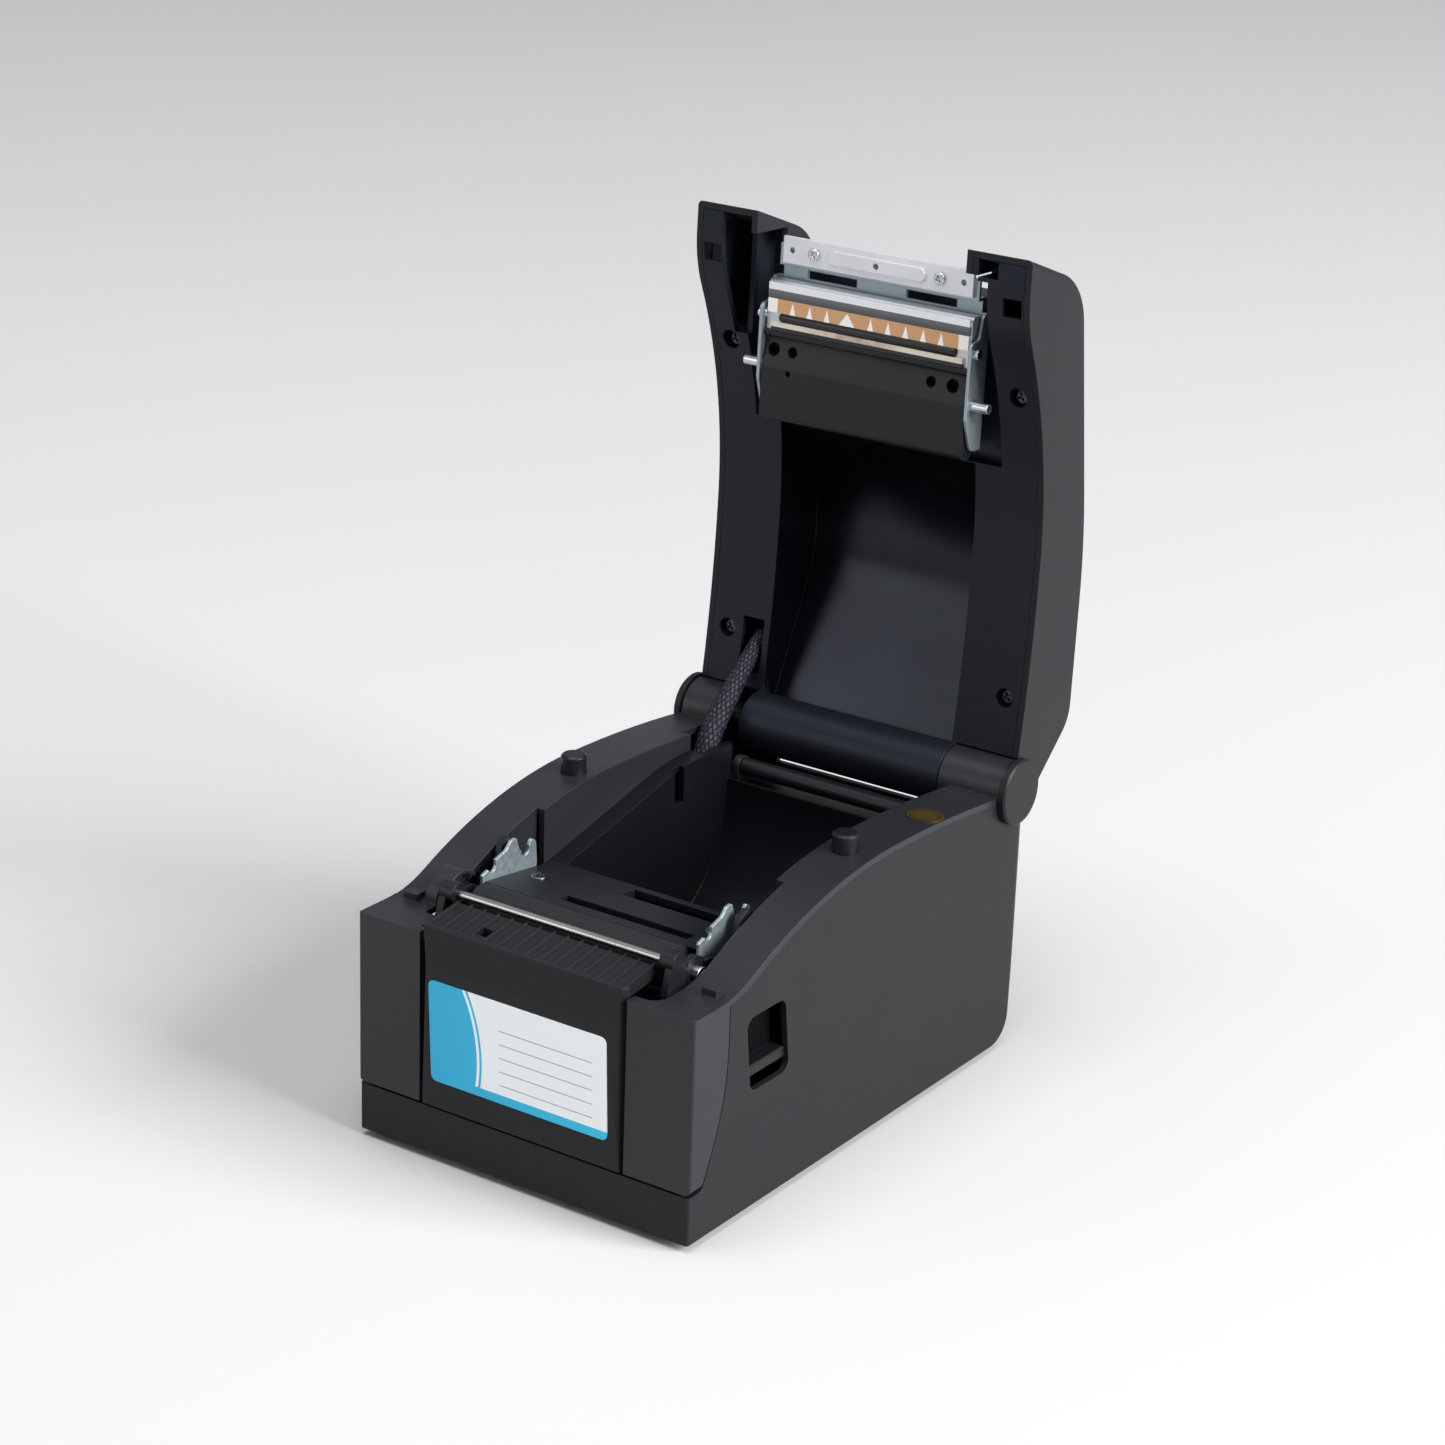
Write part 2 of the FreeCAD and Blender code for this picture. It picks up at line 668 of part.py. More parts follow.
def pocket_left():
    inner_x = -BEZEL_HALF - SEAM + 1
    wide = box(-ENGINE_RIM_X, inner_x, CHEEK_FRONT_Y - SNUG, POCKET_REAR_Y, SKIRT_Z - 10, ROD_Z)
    slit = box(-CHEEK_X, inner_x, POCKET_FRONT_Y, POCKET_FRONT_Y + 4, SKIRT_Z - 10, FAR)
    return wide.fuse(slit)


def guide_ear():
    x0 = GUIDE_HALF + SIDE_PLAY
    half = GUIDE_PIN_R + 2
    corners = [
        (BAY_REAR_Y + SNUG, ROLL_Z - 1),
        (GUIDE_Y + half, ROLL_Z - 1),
        (GUIDE_Y + half, GUIDE_Z + half, half * 0.95),
        (GUIDE_Y - half, GUIDE_Z + half, half * 0.95),
    ]
    return prism_x(corners, x0, x0 + GUIDE_EAR_T)


def harness_slot():
    room = HARNESS_R + HARNESS_ROOM
    y0 = HINGE_Y + HARNESS_ROUTE[0][0] - room
    return box(HARNESS_X - room, -BAY_HALF - BAY_T - SNUG, y0, HINGE_Y + 1, SKIRT_Z + 2, FAR)


def upper_deck():
    knuckle_x = BARREL_HALF + SIDE_PLAY
    rear_in_y = rear_y(SKIRT_Z) - WALL - SNUG
    knuckles = []
    web_front, web_x = HINGE_Y - KNUCKLE_R, SIDE_X - REAR_CORNER_R
    for x in (knuckle_x, LEFT_KNUCKLE_X):
        round_part = rod_x(KNUCKLE_R, x, SIDE_X, HINGE_Y, HINGE_Z)
        knuckles.append(round_part.fuse(box(x, web_x, web_front, rear_in_y, SKIRT_Z, HINGE_Z)))
    peg = box(PEG_X - PEG_LX / 2, PEG_X + PEG_LX / 2, PEG_Y - PEG_LY / 2, PEG_Y + PEG_LY / 2,
              RIM_FRONT_Z - 1, RIM_FRONT_Z + PEG_H)
    cup_r = PLUNGER_FLANGE_R + SLIDE_FIT
    cup = rod_z(cup_r + PLUNGER_CUP_T, cup_floor() - PLUNGER_CUP_T,
                rim_z(PLUNGER_Y) - DECK_T / 2, PLUNGER_X, PLUNGER_Y)
    pieces = []
    for shape in (pillar(), rim_side(), peg, cup, guide_ear()):
        pieces += both_sides(shape)
    pieces += [knuckles[0], mirror_x(knuckles[1])]
    bar_x = BAY_RIM_X + WALL
    pieces.append(box(-bar_x, bar_x, BAY_REAR_Y, rear_in_y, SKIRT_Z, ROLL_Z))
    pieces.append(hood())
    deck = pieces[0].fuse(pieces[1:])
    cuts = [barrel_space(SWING_GAP), gear_room(), pocket_right(), pocket_left(), harness_slot()]
    for side in (-1, 1):
        x = side * PLUNGER_X
        cuts.append(rod_z(PLUNGER_R + RUN_FIT, cup_floor(), FAR, x, PLUNGER_Y))
        cuts.append(rod_z(cup_r, cup_floor(), rim_z(PLUNGER_Y) - DECK_T, x, PLUNGER_Y))
    cuts.append(rod_x(HINGE_PIN_R + PRESS_FIT, -FAR, FAR, HINGE_Y, HINGE_Z))
    guide_x = GUIDE_HALF + GUIDE_EAR_T + 2 * SIDE_PLAY
    cuts.append(rod_x(GUIDE_PIN_R + RUN_FIT, -guide_x, guide_x, GUIDE_Y, GUIDE_Z))
    return deck.cut(cuts)


def hinge_pin():
    """Right-hand pin with its round cap outside the case."""
    pin = rod_x(HINGE_PIN_R, HINGE_PIN_IN_X, HALF + 1, HINGE_Y, HINGE_Z)
    cap = rod_x(HINGE_CAP_R, HALF, HALF + HINGE_CAP_T, HINGE_Y, HINGE_Z)
    rim = [e for e in cap.Edges if e.BoundBox.XMin > HALF + HINGE_CAP_T - 0.01]
    cap = cap.makeChamfer(HINGE_CAP_T / 4, rim)
    return cap.fuse(pin)


# Roll bay
def ledge_line(drop):
    return [
        (BAY_FRONT_Y, LEDGE_FRONT_Z - drop),
        (LEDGE_BEND_Y, LEDGE_REAR_Z - drop, LEDGE_BEND_R),
        (BAY_REAR_Y, LEDGE_REAR_Z - drop),
    ]


def bay_side(x0, x1, floor_z):
    top = ledge_line(0.0)
    return prism_x(top + [(BAY_REAR_Y, floor_z), (BAY_FRONT_Y, floor_z)], x0, x1)


def media_bay():
    out_x = BAY_HALF + BAY_T
    drum = rod_x(BAY_R + BAY_T, -out_x, out_x, ROLL_Y, ROLL_Z)
    drum = drum.common(box(-FAR, FAR, -FAR, FAR, 0, ROLL_Z))
    side = bay_side(BAY_HALF, out_x, ROLL_Z - BAY_T)
    flange = bay_side(BAY_HALF, BAY_RIM_X, ROLL_Z - BAY_T)
    below = ledge_line(BAY_T) + [(BAY_REAR_Y + 1, 0.0), (BAY_FRONT_Y - 1, 0.0)]
    flange = flange.cut(prism_x(below, out_x, FAR))
    lip = box(-out_x, out_x, ROLL_Y + BAY_R, GUIDE_Y - GUIDE_PIN_R - 2.5, ROLL_Z, ROLL_Z + BAY_T)
    tub = drum.fuse(both_sides(side) + both_sides(flange) + [lip])
    hollow = rod_x(BAY_R, -BAY_HALF, BAY_HALF, ROLL_Y, ROLL_Z)
    hollow = hollow.fuse(box(-BAY_HALF, BAY_HALF, ROLL_Y - BAY_R, ROLL_Y + BAY_R, ROLL_Z, FAR))
    notch = box(BAY_HALF - 1, out_x + 0.1, NOTCH_Y - NOTCH_W / 2, NOTCH_Y + NOTCH_W / 2,
                NOTCH_FOOT_Z, FAR)
    return tub.cut([hollow, harness_slot()] + both_sides(notch))


def guide_roller():
    pin_x = GUIDE_HALF + SIDE_PLAY + GUIDE_EAR_T
    return rod_x(GUIDE_R, -GUIDE_HALF, GUIDE_HALF, GUIDE_Y, GUIDE_Z).fuse(
        rod_x(GUIDE_PIN_R, -pin_x, pin_x, GUIDE_Y, GUIDE_Z))


# Front bezel
def bezel_ring(z, half, y):
    """One level of the panel: flat front, slanted flanks, straight back."""
    points = [
        vec(-BEZEL_HALF, BEZEL_BACK_Y, z),
        vec(-BEZEL_HALF, BEZEL_SIDE_Y, z),
        vec(-half, y, z),
        vec(half, y, z),
        vec(BEZEL_HALF, BEZEL_SIDE_Y, z),
        vec(BEZEL_HALF, BEZEL_BACK_Y, z),
    ]
    return Part.makePolygon(points + points[:1])


def ramp_z(y):
    share = (y - BEZEL_BROW_Y) / (RAMP_END_Y - BEZEL_BROW_Y)
    return BEZEL_BROW_Z + share * (RAMP_END_Z - BEZEL_BROW_Z)


def front_bezel():
    rings = [
        bezel_ring(PILLAR_FOOT_Z, BEZEL_FOOT_HALF, BEZEL_FOOT_Y),
        bezel_ring(BEZEL_BEAK_Z, BEZEL_BEAK_HALF, BEZEL_BEAK_Y),
        bezel_ring(BEZEL_BROW_Z, BEZEL_BROW_HALF, BEZEL_BROW_Y),
    ]
    panel = Part.makeLoft(rings, True, True)
    half = BEZEL_BROW_HALF
    deck_z = ramp_z(BEZEL_BACK_Y) - RIB_DEPTH
    ramp = prism_x(
        [(BEZEL_BROW_Y, BEZEL_BROW_Z), (BEZEL_BROW_Y, deck_z - 2 * WALL),
         (RAMP_END_Y, deck_z - WALL), (RAMP_END_Y, RAMP_END_Z)], -half, half)
    lugs = []
    for z in BEZEL_LUG_ZS:
        lug = box(BEZEL_HALF - 2, BEZEL_HALF + SEAM, BEZEL_SIDE_Y, BEZEL_BACK_Y + 2, z, z + BEZEL_LUG_H)
        lugs += both_sides(lug)
    bezel = panel.fuse([ramp] + lugs)
    grooves = []
    pitch = (2 * half - RIB_T) / (RIB_COUNT - 1)
    for i in range(RIB_COUNT - 1):
        x0 = -half + RIB_T + i * pitch
        y0 = BEZEL_BROW_Y + 2.0
        grooves.append(prism_x(
            [(y0, ramp_z(y0) + 0.1), (y0 + 1, ramp_z(y0 + 1) - RIB_DEPTH),
             (RAMP_END_Y + 1, RAMP_END_Z - RIB_DEPTH), (RAMP_END_Y + 1, RAMP_END_Z + 1)],
            x0, x0 + pitch - RIB_T))
    eye = box(EYE_X - EYE_W / 2, EYE_X + EYE_W / 2, EYE_Y - EYE_W / 2, EYE_Y + EYE_W / 2, 0, FAR)
    return bezel.cut(grooves + [eye])


def front_label():
    """Thin label lying on the leaning panel."""
    lean = math.degrees(math.atan2(BEZEL_FOOT_Y - BEZEL_BEAK_Y, BEZEL_BEAK_Z - PILLAR_FOOT_Z))
    y1, z0 = BEZEL_FOOT_Y, PILLAR_FOOT_Z + LABEL_LOW
    corners = [(-LABEL_HALF, z0, LABEL_R), (LABEL_HALF, z0, LABEL_R),
               (LABEL_HALF, z0 + LABEL_H, LABEL_R), (-LABEL_HALF, z0 + LABEL_H, LABEL_R)]
    return turn_x(prism_y(corners, y1 - LABEL_T, y1), lean, BEZEL_FOOT_Y, PILLAR_FOOT_Z)


# Print engine
def plate_z(y):
    share = (y - GUIDE_PLATE_FRONT_Y) / (GUIDE_PLATE_REAR_Y - GUIDE_PLATE_FRONT_Y)
    return GUIDE_PLATE_FRONT_Z + share * (GUIDE_PLATE_REAR_Z - GUIDE_PLATE_FRONT_Z)


def beam(y0, y1, z0):
    """Cross beam that carries the guide plate on its sloping top."""
    top0, top1 = plate_z(y0) - GUIDE_PLATE_T, plate_z(y1) - GUIDE_PLATE_T
    return prism_x([(y0, z0), (y1, z0), (y1, top1), (y0, top0)], -CHEEK_X, CHEEK_X)


def cheek():
    """Right-hand side cheek, standing on the floor of the case."""
    boss_z = ROD_Z + 2 * ROD_R
    corners = [
        (CHEEK_FRONT_Y, FLOOR_Z),
        (CHEEK_REAR_Y, FLOOR_Z),
        (CHEEK_REAR_Y, CHEEK_TOP_Z - 6, 3.0),
        (PLATEN_Y + BUSH_R + 3, CHEEK_TOP_Z),
        (ROD_Y + 3 * ROD_R, CHEEK_TOP_Z, 1.0),
        (ROD_Y + 2 * ROD_R, boss_z, 2.0),
        (ROD_Y - 2 * ROD_R, boss_z, 2.0),
        (CHEEK_FRONT_Y, CHEEK_TOP_Z - 6),
    ]
    plate = prism_x(corners, CHEEK_X, CHEEK_OUT_X)
    ring = rod_x(BUSH_R + 1.2, CHEEK_X, CHEEK_OUT_X, PLATEN_Y, PLATEN_Z)
    stud = rod_x(HOOK_STUD_R, CHEEK_X, CHEEK_OUT_X + SNUG + HOOK_T + 0.6, HOOK_Y, HOOK_Z)
    boss = rod_x(ROD_BOSS_R, CHEEK_X - ROD_BOSS_IN, CHEEK_OUT_X, ROD_Y, ROD_Z)
    return plate.fuse([ring, stud, boss])


def engine_frame():
    pieces = both_sides(cheek())
    tie_y = PILLAR_REAR_Y + SEAM
    pieces.append(box(-CHEEK_X, CHEEK_X, tie_y, tie_y + TIE_T, FLOOR_Z, CHEEK_TOP_Z - 8))
    rear_beam = TRACK_Y - TRACK_W / 2 - 2
    pieces.append(beam(rear_beam - BEAM_W, rear_beam, PLATEN_Z - 20))
    front_beam = GUIDE_PLATE_FRONT_Y + GUIDE_PLATE_T + SNUG
    pieces.append(beam(front_beam, front_beam + BEAM_W, PLATEN_Z - 12))
    frame = pieces[0].fuse(pieces[1:])
    notch = box(LATCH_X - SNUG, CHEEK_X, PLATEN_Y + BUSH_R, TRACK_Y, LATCH_FOOT_Z - SNUG, FAR)
    cuts = both_sides(notch)
    cuts += [rod_x(BUSH_R + PRESS_FIT, -FAR, FAR, PLATEN_Y, PLATEN_Z),
             rod_x(ROD_R + PRESS_FIT, -CHEEK_X - CHEEK_T / 2, CHEEK_X + CHEEK_T / 2, ROD_Y, ROD_Z),
             rod_x(MOTOR_SHAFT_R + 3, -FAR, -CHEEK_X + 0.1, *motor_axis())]
    return frame.cut(cuts)


def idler_axis():
    reach = MODULE * (PLATEN_TEETH + IDLER_TEETH) / 2 + MESH_PLAY
    a = math.radians(IDLER_ANGLE)
    return PLATEN_Y + reach * math.cos(a), PLATEN_Z + reach * math.sin(a)


def motor_axis():
    reach = MODULE * (IDLER_TEETH + PINION_TEETH) / 2 + MESH_PLAY
    a = math.radians(MOTOR_ANGLE)
    y, z = idler_axis()
    return y + reach * math.cos(a), z + reach * math.sin(a)


def gear_outer_r(teeth):
    return MODULE * teeth / 2 + 0.8 * MODULE


def gear(teeth, bore_r, axis, tooth_at):
    """Spur gear on the left cheek, with a tooth centred on the direction tooth_at."""
    outer, root = gear_outer_r(teeth), MODULE * teeth / 2 - MODULE
    step = 2 * math.pi / teeth
    points = []
    for i in range(teeth):
        middle = math.radians(tooth_at) + i * step
        for radius, share in ((root, -0.30), (outer, -0.13), (outer, 0.13), (root, 0.30)):
            a = middle + share * step
            points.append(vec(GEAR_X, axis[0] + radius * math.cos(a), axis[1] + radius * math.sin(a)))
    blank = Part.Face(Part.makePolygon(points + points[:1])).extrude(vec(GEAR_T, 0, 0))
    return blank.cut(rod_x(bore_r, GEAR_X - 1, GEAR_X + GEAR_T + 1, *axis))


def half_tooth(teeth):
    return 180.0 / teeth


def platen_gear():
    return gear(PLATEN_TEETH, SHAFT_R + PRESS_FIT, (PLATEN_Y, PLATEN_Z), IDLER_ANGLE)


def idler_gear():
    space = IDLER_ANGLE + 180.0 + half_tooth(IDLER_TEETH)
    return gear(IDLER_TEETH, IDLER_PIN_R + RUN_FIT, idler_axis(), space)


def motor_pinion():
    """Pinion on the motor's shaft, in mesh with the idler wherever its teeth stand."""
    pitch = 360.0 / IDLER_TEETH
    tooth = IDLER_ANGLE + 180.0 + half_tooth(IDLER_TEETH)
    off = (MOTOR_ANGLE - tooth) % pitch / pitch
    space = MOTOR_ANGLE + 180.0 + (off + 0.5) * 360.0 / PINION_TEETH
    axis = motor_axis()
    pinion = gear(PINION_TEETH, MOTOR_SHAFT_R / 2, axis, space)
    shaft = rod_x(MOTOR_SHAFT_R, GEAR_X, -CHEEK_X, *axis)
    return pinion.fuse(shaft)


def idler_pin():
    return rod_x(IDLER_PIN_R, GEAR_X - 0.6, -CHEEK_OUT_X, *idler_axis())


def motor_body():
    y, z = motor_axis()
    can = rod_x(MOTOR_R, -CHEEK_X, -CHEEK_X + MOTOR_L, y, z)
    reach = MOTOR_R + MOTOR_EAR
    ears = box(-CHEEK_X, -CHEEK_X + 1.5, y - MOTOR_EAR, y + MOTOR_EAR, z - reach, z + reach)
    bore = rod_x(MOTOR_SHAFT_R + RUN_FIT, -CHEEK_X - 1, -CHEEK_X + 0.5, y, z)
    return can.fuse(ears).cut(bore)


def platen_roller():
    sleeve = rod_x(PLATEN_R, -PLATEN_HALF, PLATEN_HALF, PLATEN_Y, PLATEN_Z)
    return sleeve.cut(rod_x(SHAFT_R, -FAR, FAR, PLATEN_Y, PLATEN_Z))


def platen_shaft():
    return rod_x(SHAFT_R, GEAR_X, SHAFT_RIGHT_X, PLATEN_Y, PLATEN_Z)


def platen_bushes():
    ring = rod_x(BUSH_R, CHEEK_X, CHEEK_OUT_X, PLATEN_Y, PLATEN_Z)
    ring = ring.cut(rod_x(SHAFT_R + RUN_FIT, 0, FAR, PLATEN_Y, PLATEN_Z))
    return both_sides(ring)


def peel_rod():
    reach = CHEEK_X + CHEEK_T / 2
    return rod_x(ROD_R, -reach, reach, ROD_Y, ROD_Z)


def guide_plate():
    half = LATCH_X - SLIDE_FIT
    y0, y1 = GUIDE_PLATE_FRONT_Y, GUIDE_PLATE_REAR_Y
    z0, z1 = GUIDE_PLATE_FRONT_Z, GUIDE_PLATE_REAR_Z
    wedge_y = y0 + GUIDE_PLATE_T
    corners = [(y0, z0 - GUIDE_PLATE_EDGE), (wedge_y, plate_z(wedge_y) - GUIDE_PLATE_T),
               (y1, z1 - GUIDE_PLATE_T), (y1, z1), (y0, z0)]
    plate = prism_x(corners, -half, half)
    cuts = [box(TRACK_X0, TRACK_X1, TRACK_Y - TRACK_W / 2, TRACK_Y + TRACK_W / 2, 0, FAR),
            box(GROOVE_X0, GROOVE_X1, GROOVE_Y - GROOVE_W / 2, GROOVE_Y + GROOVE_W / 2, 0, FAR)]
    for x, y in guide_screw_places():
        cuts.append(rod_z(SCREW_HEAD_R + SNUG, plate_z(y) - 1, FAR, x, y))
    return plate.cut(cuts)


def guide_screw_places():
    y = (TRACK_Y + GROOVE_Y) / 2 - 1
    return [(1 - GUIDE_SCREW_X, y), (GUIDE_SCREW_X + 1, y)]


def guide_screws():
    heads = []
    for x, y in guide_screw_places():
        seat = plate_z(y) - 1
        heads.append(rod_z(SCREW_HEAD_R, seat, seat + SCREW_HEAD_H, x, y))
    return heads


def media_sensor():
    """Sensor that slides along its slot, level with the guide plate."""
    y0, y1 = TRACK_Y - TRACK_W / 2 + SLIDE_FIT, TRACK_Y + TRACK_W / 2 - SLIDE_FIT
    x0 = TRACK_X0 + SLIDE_FIT
    return prism_x([(y0, plate_z(y0) - 8), (y1, plate_z(y0) - 8), (y1, plate_z(y1)),
                    (y0, plate_z(y0))], x0, x0 + SENSOR_L)


# Latch
def latch_plate():
    """Right-hand zinc plate: a cradle for the front pin, a forked notch for the rear one."""
    rear_horn = PIN_REAR_Z + 3.3
    corners = [
        (PIN_FRONT_Y - 5.5, LATCH_FOOT_Z),
        (PIN_REAR_Y - 1, LATCH_FOOT_Z, 6.0),
        (PIN_REAR_Y + 7.5, PIN_REAR_Z - 9, 8.0),
        (PIN_REAR_Y + 6.5, rear_horn - 1, 3.0),
        (PIN_REAR_Y + 3.6, rear_horn, 1.0),
        (PIN_REAR_Y + 1, PIN_REAR_Z - 1),
        (PIN_REAR_Y - 3.2, PIN_REAR_Z + 1),
        (PIN_REAR_Y - 5.2, PIN_REAR_Z + 6.6, 1.2),
        (PIN_REAR_Y - 8.4, PIN_REAR_Z + 6.2, 1.6),
        (PIN_REAR_Y - 11.0, PIN_REAR_Z + 3.4, 3.0),
        (PIN_FRONT_Y + 0.8, PIN_FRONT_Z + 1.4),
        (PIN_FRONT_Y + 0.2, PIN_FRONT_Z),
        (PIN_FRONT_Y - 5.5, PIN_FRONT_Z - 2.0, 0.8),
    ]
    plate = prism_x(corners, LATCH_X, CHEEK_X)
    room = PIN_R + SLIDE_FIT
    rise = 4 * room
    seats = [rod_x(room, 0, FAR, PIN_FRONT_Y, PIN_FRONT_Z),
             rod_x(room, 0, FAR, PIN_REAR_Y, PIN_REAR_Z),
             box(0, FAR, PIN_REAR_Y - room, PIN_REAR_Y + room, PIN_REAR_Z, PIN_REAR_Z + rise),
             box(0, FAR, PIN_FRONT_Y - room, PIN_FRONT_Y + room, PIN_FRONT_Z, PIN_FRONT_Z + rise)]
    return plate.cut(seats)


def latch_hook():
    """Right-hand hook on its stud, with its nose over the rear pin."""
    x0 = CHEEK_OUT_X + SNUG
    over = PIN_REAR_Z + PIN_R + SLIDE_FIT
    corners = [
        (HOOK_Y - HOOK_HUB_R, HOOK_Z),
        (HOOK_Y - 3, HOOK_Z - 14, 2.0),
        (HOOK_Y + 3, HOOK_Z - 14, 2.0),
        (HOOK_Y + HOOK_HUB_R, HOOK_Z, 4.0),
        (PIN_REAR_Y - PIN_R - 1.4, PIN_REAR_Z - 6, 6.0),
        (PIN_REAR_Y - PIN_R - 0.6, over),
        (PIN_REAR_Y + 0.6, over, 0.6),
        (PIN_REAR_Y - PIN_R - 1.0, over + 3.2, 2.0),
        (PIN_REAR_Y - PIN_R - 6.0, over + 1.0, 2.0),
    ]
    hook = prism_x(corners, x0, x0 + HOOK_T)
    hub = rod_x(HOOK_HUB_R, x0, x0 + HOOK_T, HOOK_Y, HOOK_Z)
    return hook.fuse(hub).cut(rod_x(HOOK_STUD_R + RUN_FIT, 0, FAR, HOOK_Y, HOOK_Z))


def release_button():
    """Right-hand release button: a scooped paddle in the side window, with its stem."""
    out_x = SIDE_X - BUTTON_SINK
    paddle = window(SLIDE_FIT, out_x - BUTTON_T, out_x + BUTTON_SINK / 2)
    mid_z = (WINDOW_TOP_Z + WINDOW_FOOT_Z) / 2
    scoop = rod_y(SCOOP_R, -FAR, FAR, out_x + SCOOP_R - BUTTON_T / 4, mid_z + 3)
    stem_y = (WINDOW_FRONT_Y + WINDOW_REAR_Y + WINDOW_SLANT) / 2 + 4
    stem_z = HOOK_Z - 10
    stem = rod_x(BUTTON_STEM_R, stem_end(), out_x - BUTTON_T / 2, stem_y, stem_z)
    return paddle.cut(scoop).fuse(stem)


def stem_end():
    return CHEEK_OUT_X + SNUG + HOOK_T + 0.6 + BUTTON_TRAVEL + SLIDE_FIT


# Plungers
def plunger():
    """Right-hand plunger, sprung up to hold the cover off the rim."""
    deck_z = rim_z(PLUNGER_Y)
    flange_z = deck_z - DECK_T - 0.2
    body = rod_z(PLUNGER_R, flange_z - 1, deck_z + PLUNGER_RISE, PLUNGER_X, PLUNGER_Y)
    top = [e for e in body.Edges if e.BoundBox.ZMin > deck_z + PLUNGER_RISE - 0.01]
    body = body.makeChamfer(0.8, top)
    foot_z = flange_z - PLUNGER_FLANGE_T
    return body.fuse(rod_z(PLUNGER_FLANGE_R, foot_z, flange_z, PLUNGER_X, PLUNGER_Y))


# Electronics
def main_board():
    rear = rear_y(BOARD_Z) - WALL - BOARD_REAR_GAP
    return box(-BOARD_HALF, BOARD_HALF, BOARD_FRONT_Y, rear, BOARD_Z, BOARD_Z + BOARD_T)


def usb_port():
    z0 = BOARD_Z + BOARD_T
    face = rear_y(z0) - 0.5
    shell = box(USB_X - USB_W / 2, USB_X + USB_W / 2, face - USB_L, face, z0, z0 + USB_H)
    mouth = box(USB_X - USB_W / 2 + 1, USB_X + USB_W / 2 - 1, face - USB_L + 2, FAR,
                z0 + 1, z0 + USB_H - 1)
    tongue = box(USB_X - 3, USB_X + 3, face - USB_L + 1, face - 2, z0 + 4, z0 + 7)
    return shell.cut(mouth).fuse(tongue)


def power_jack():
    z0 = BOARD_Z + BOARD_T
    face = rear_y(z0) - WALL - SNUG
    mid_z = z0 + JACK_H / 2
    body = box(JACK_X - JACK_W / 2, JACK_X + JACK_W / 2, face - JACK_L, face, z0, z0 + JACK_H)
    bore = rod_y(JACK_W / 2 - 1.4, face - JACK_L + 3, FAR, JACK_X, mid_z)
    pin = rod_y(1.0, face - JACK_L + 2, face - 1, JACK_X, mid_z)
    return body.cut(bore).fuse(pin)


def switch_face():
    return rear_y(SWITCH_Z - SWITCH_H / 2)


def switch_frame():
    face = switch_face()
    half_w, half_h = SWITCH_W / 2 - SNUG, SWITCH_H / 2 - SNUG
    outer = box(SWITCH_X - half_w, SWITCH_X + half_w, face - SWITCH_L, face,
                SWITCH_Z - half_h, SWITCH_Z + half_h)
    mouth = box(SWITCH_X - half_w + 1.5, SWITCH_X + half_w - 1.5, face - 8, FAR,
                SWITCH_Z - half_h + 1.5, SWITCH_Z + half_h - 1.5)
    return outer.cut(mouth)


def power_rocker():
    """Rocker that tips end to end about an upright line inside the switch."""
    half_w, half_h = SWITCH_W / 2 - SNUG - 1.5 - SLIDE_FIT, SWITCH_H / 2 - SNUG - 1.5 - SLIDE_FIT
    face = switch_face()
    low, high = face - ROCKER_DEPTH, face + 1.6
    corners = [(SWITCH_X - half_w + 1.2, low), (SWITCH_X + half_w - 1.2, low),
               (SWITCH_X + half_w - 1.8, high), (SWITCH_X, high - 1.2),
               (SWITCH_X - half_w + 1.8, high)]
    key = prism_z(corners, SWITCH_Z - half_h, SWITCH_Z + half_h)
    key.rotate(vec(SWITCH_X, low, 0), vec(0, 0, 1), -ROCKER_TILT)
    return key


# Cover
def cover_corners():
    """Side view of the shut cover, counter-clockwise, running on below the rim."""
    lean = (COVER_BROW_Y - COVER_FRONT_Y) / (COVER_BROW_Z - RIM_FRONT_Z)
    low_z = RIM_FRONT_Z - 30
    tail = math.radians(COVER_TAIL_ANGLE)
    tail_point = (HINGE_Y + COVER_TAIL_REACH * math.cos(tail),
                  HINGE_Z + COVER_TAIL_REACH * math.sin(tail))
    return [
        (COVER_FRONT_Y + (low_z - RIM_FRONT_Z) * lean, low_z),
        (HINGE_Y, low_z),
        (HINGE_Y, HINGE_Z),
        tail_point,
        (COVER_TAIL_Y, COVER_CREST_Z, COVER_TAIL_R),
        (COVER_CREST_Y, COVER_CREST_Z, COVER_CREST_R),
        (COVER_BROW_Y, COVER_BROW_Z, COVER_BROW_R),
    ]


def mouth(grow):
    return box(-MOUTH_HALF - grow, MOUTH_HALF + grow, -FAR, MOUTH_Y + grow, 0, FAR)


def swing_space():
    """What the shut cover has to leave clear: the rim, and the knuckles at each side."""
    rim = under_rim(COVER_GAP, -FAR, FAR)
    knuckle = rod_x(KNUCKLE_R + SWING_GAP, BARREL_HALF + SIDE_PLAY / 2, FAR, HINGE_Y, HINGE_Z)
    return [rim] + both_sides(knuckle)


def head_bay():
    bay = box(-ENGINE_RIM_X, ENGINE_RIM_X, CHEEK_FRONT_Y - 1, HEAD_BAY_REAR_Y, 0, HEAD_ROOF_Z)
    front = COVER_FRONT_Y + COVER_T + SNUG
    return bay.fuse(box(-ENGINE_RIM_X, -MOUTH_HALF, front, CHEEK_FRONT_Y, 0, HEAD_ROOF_Z))


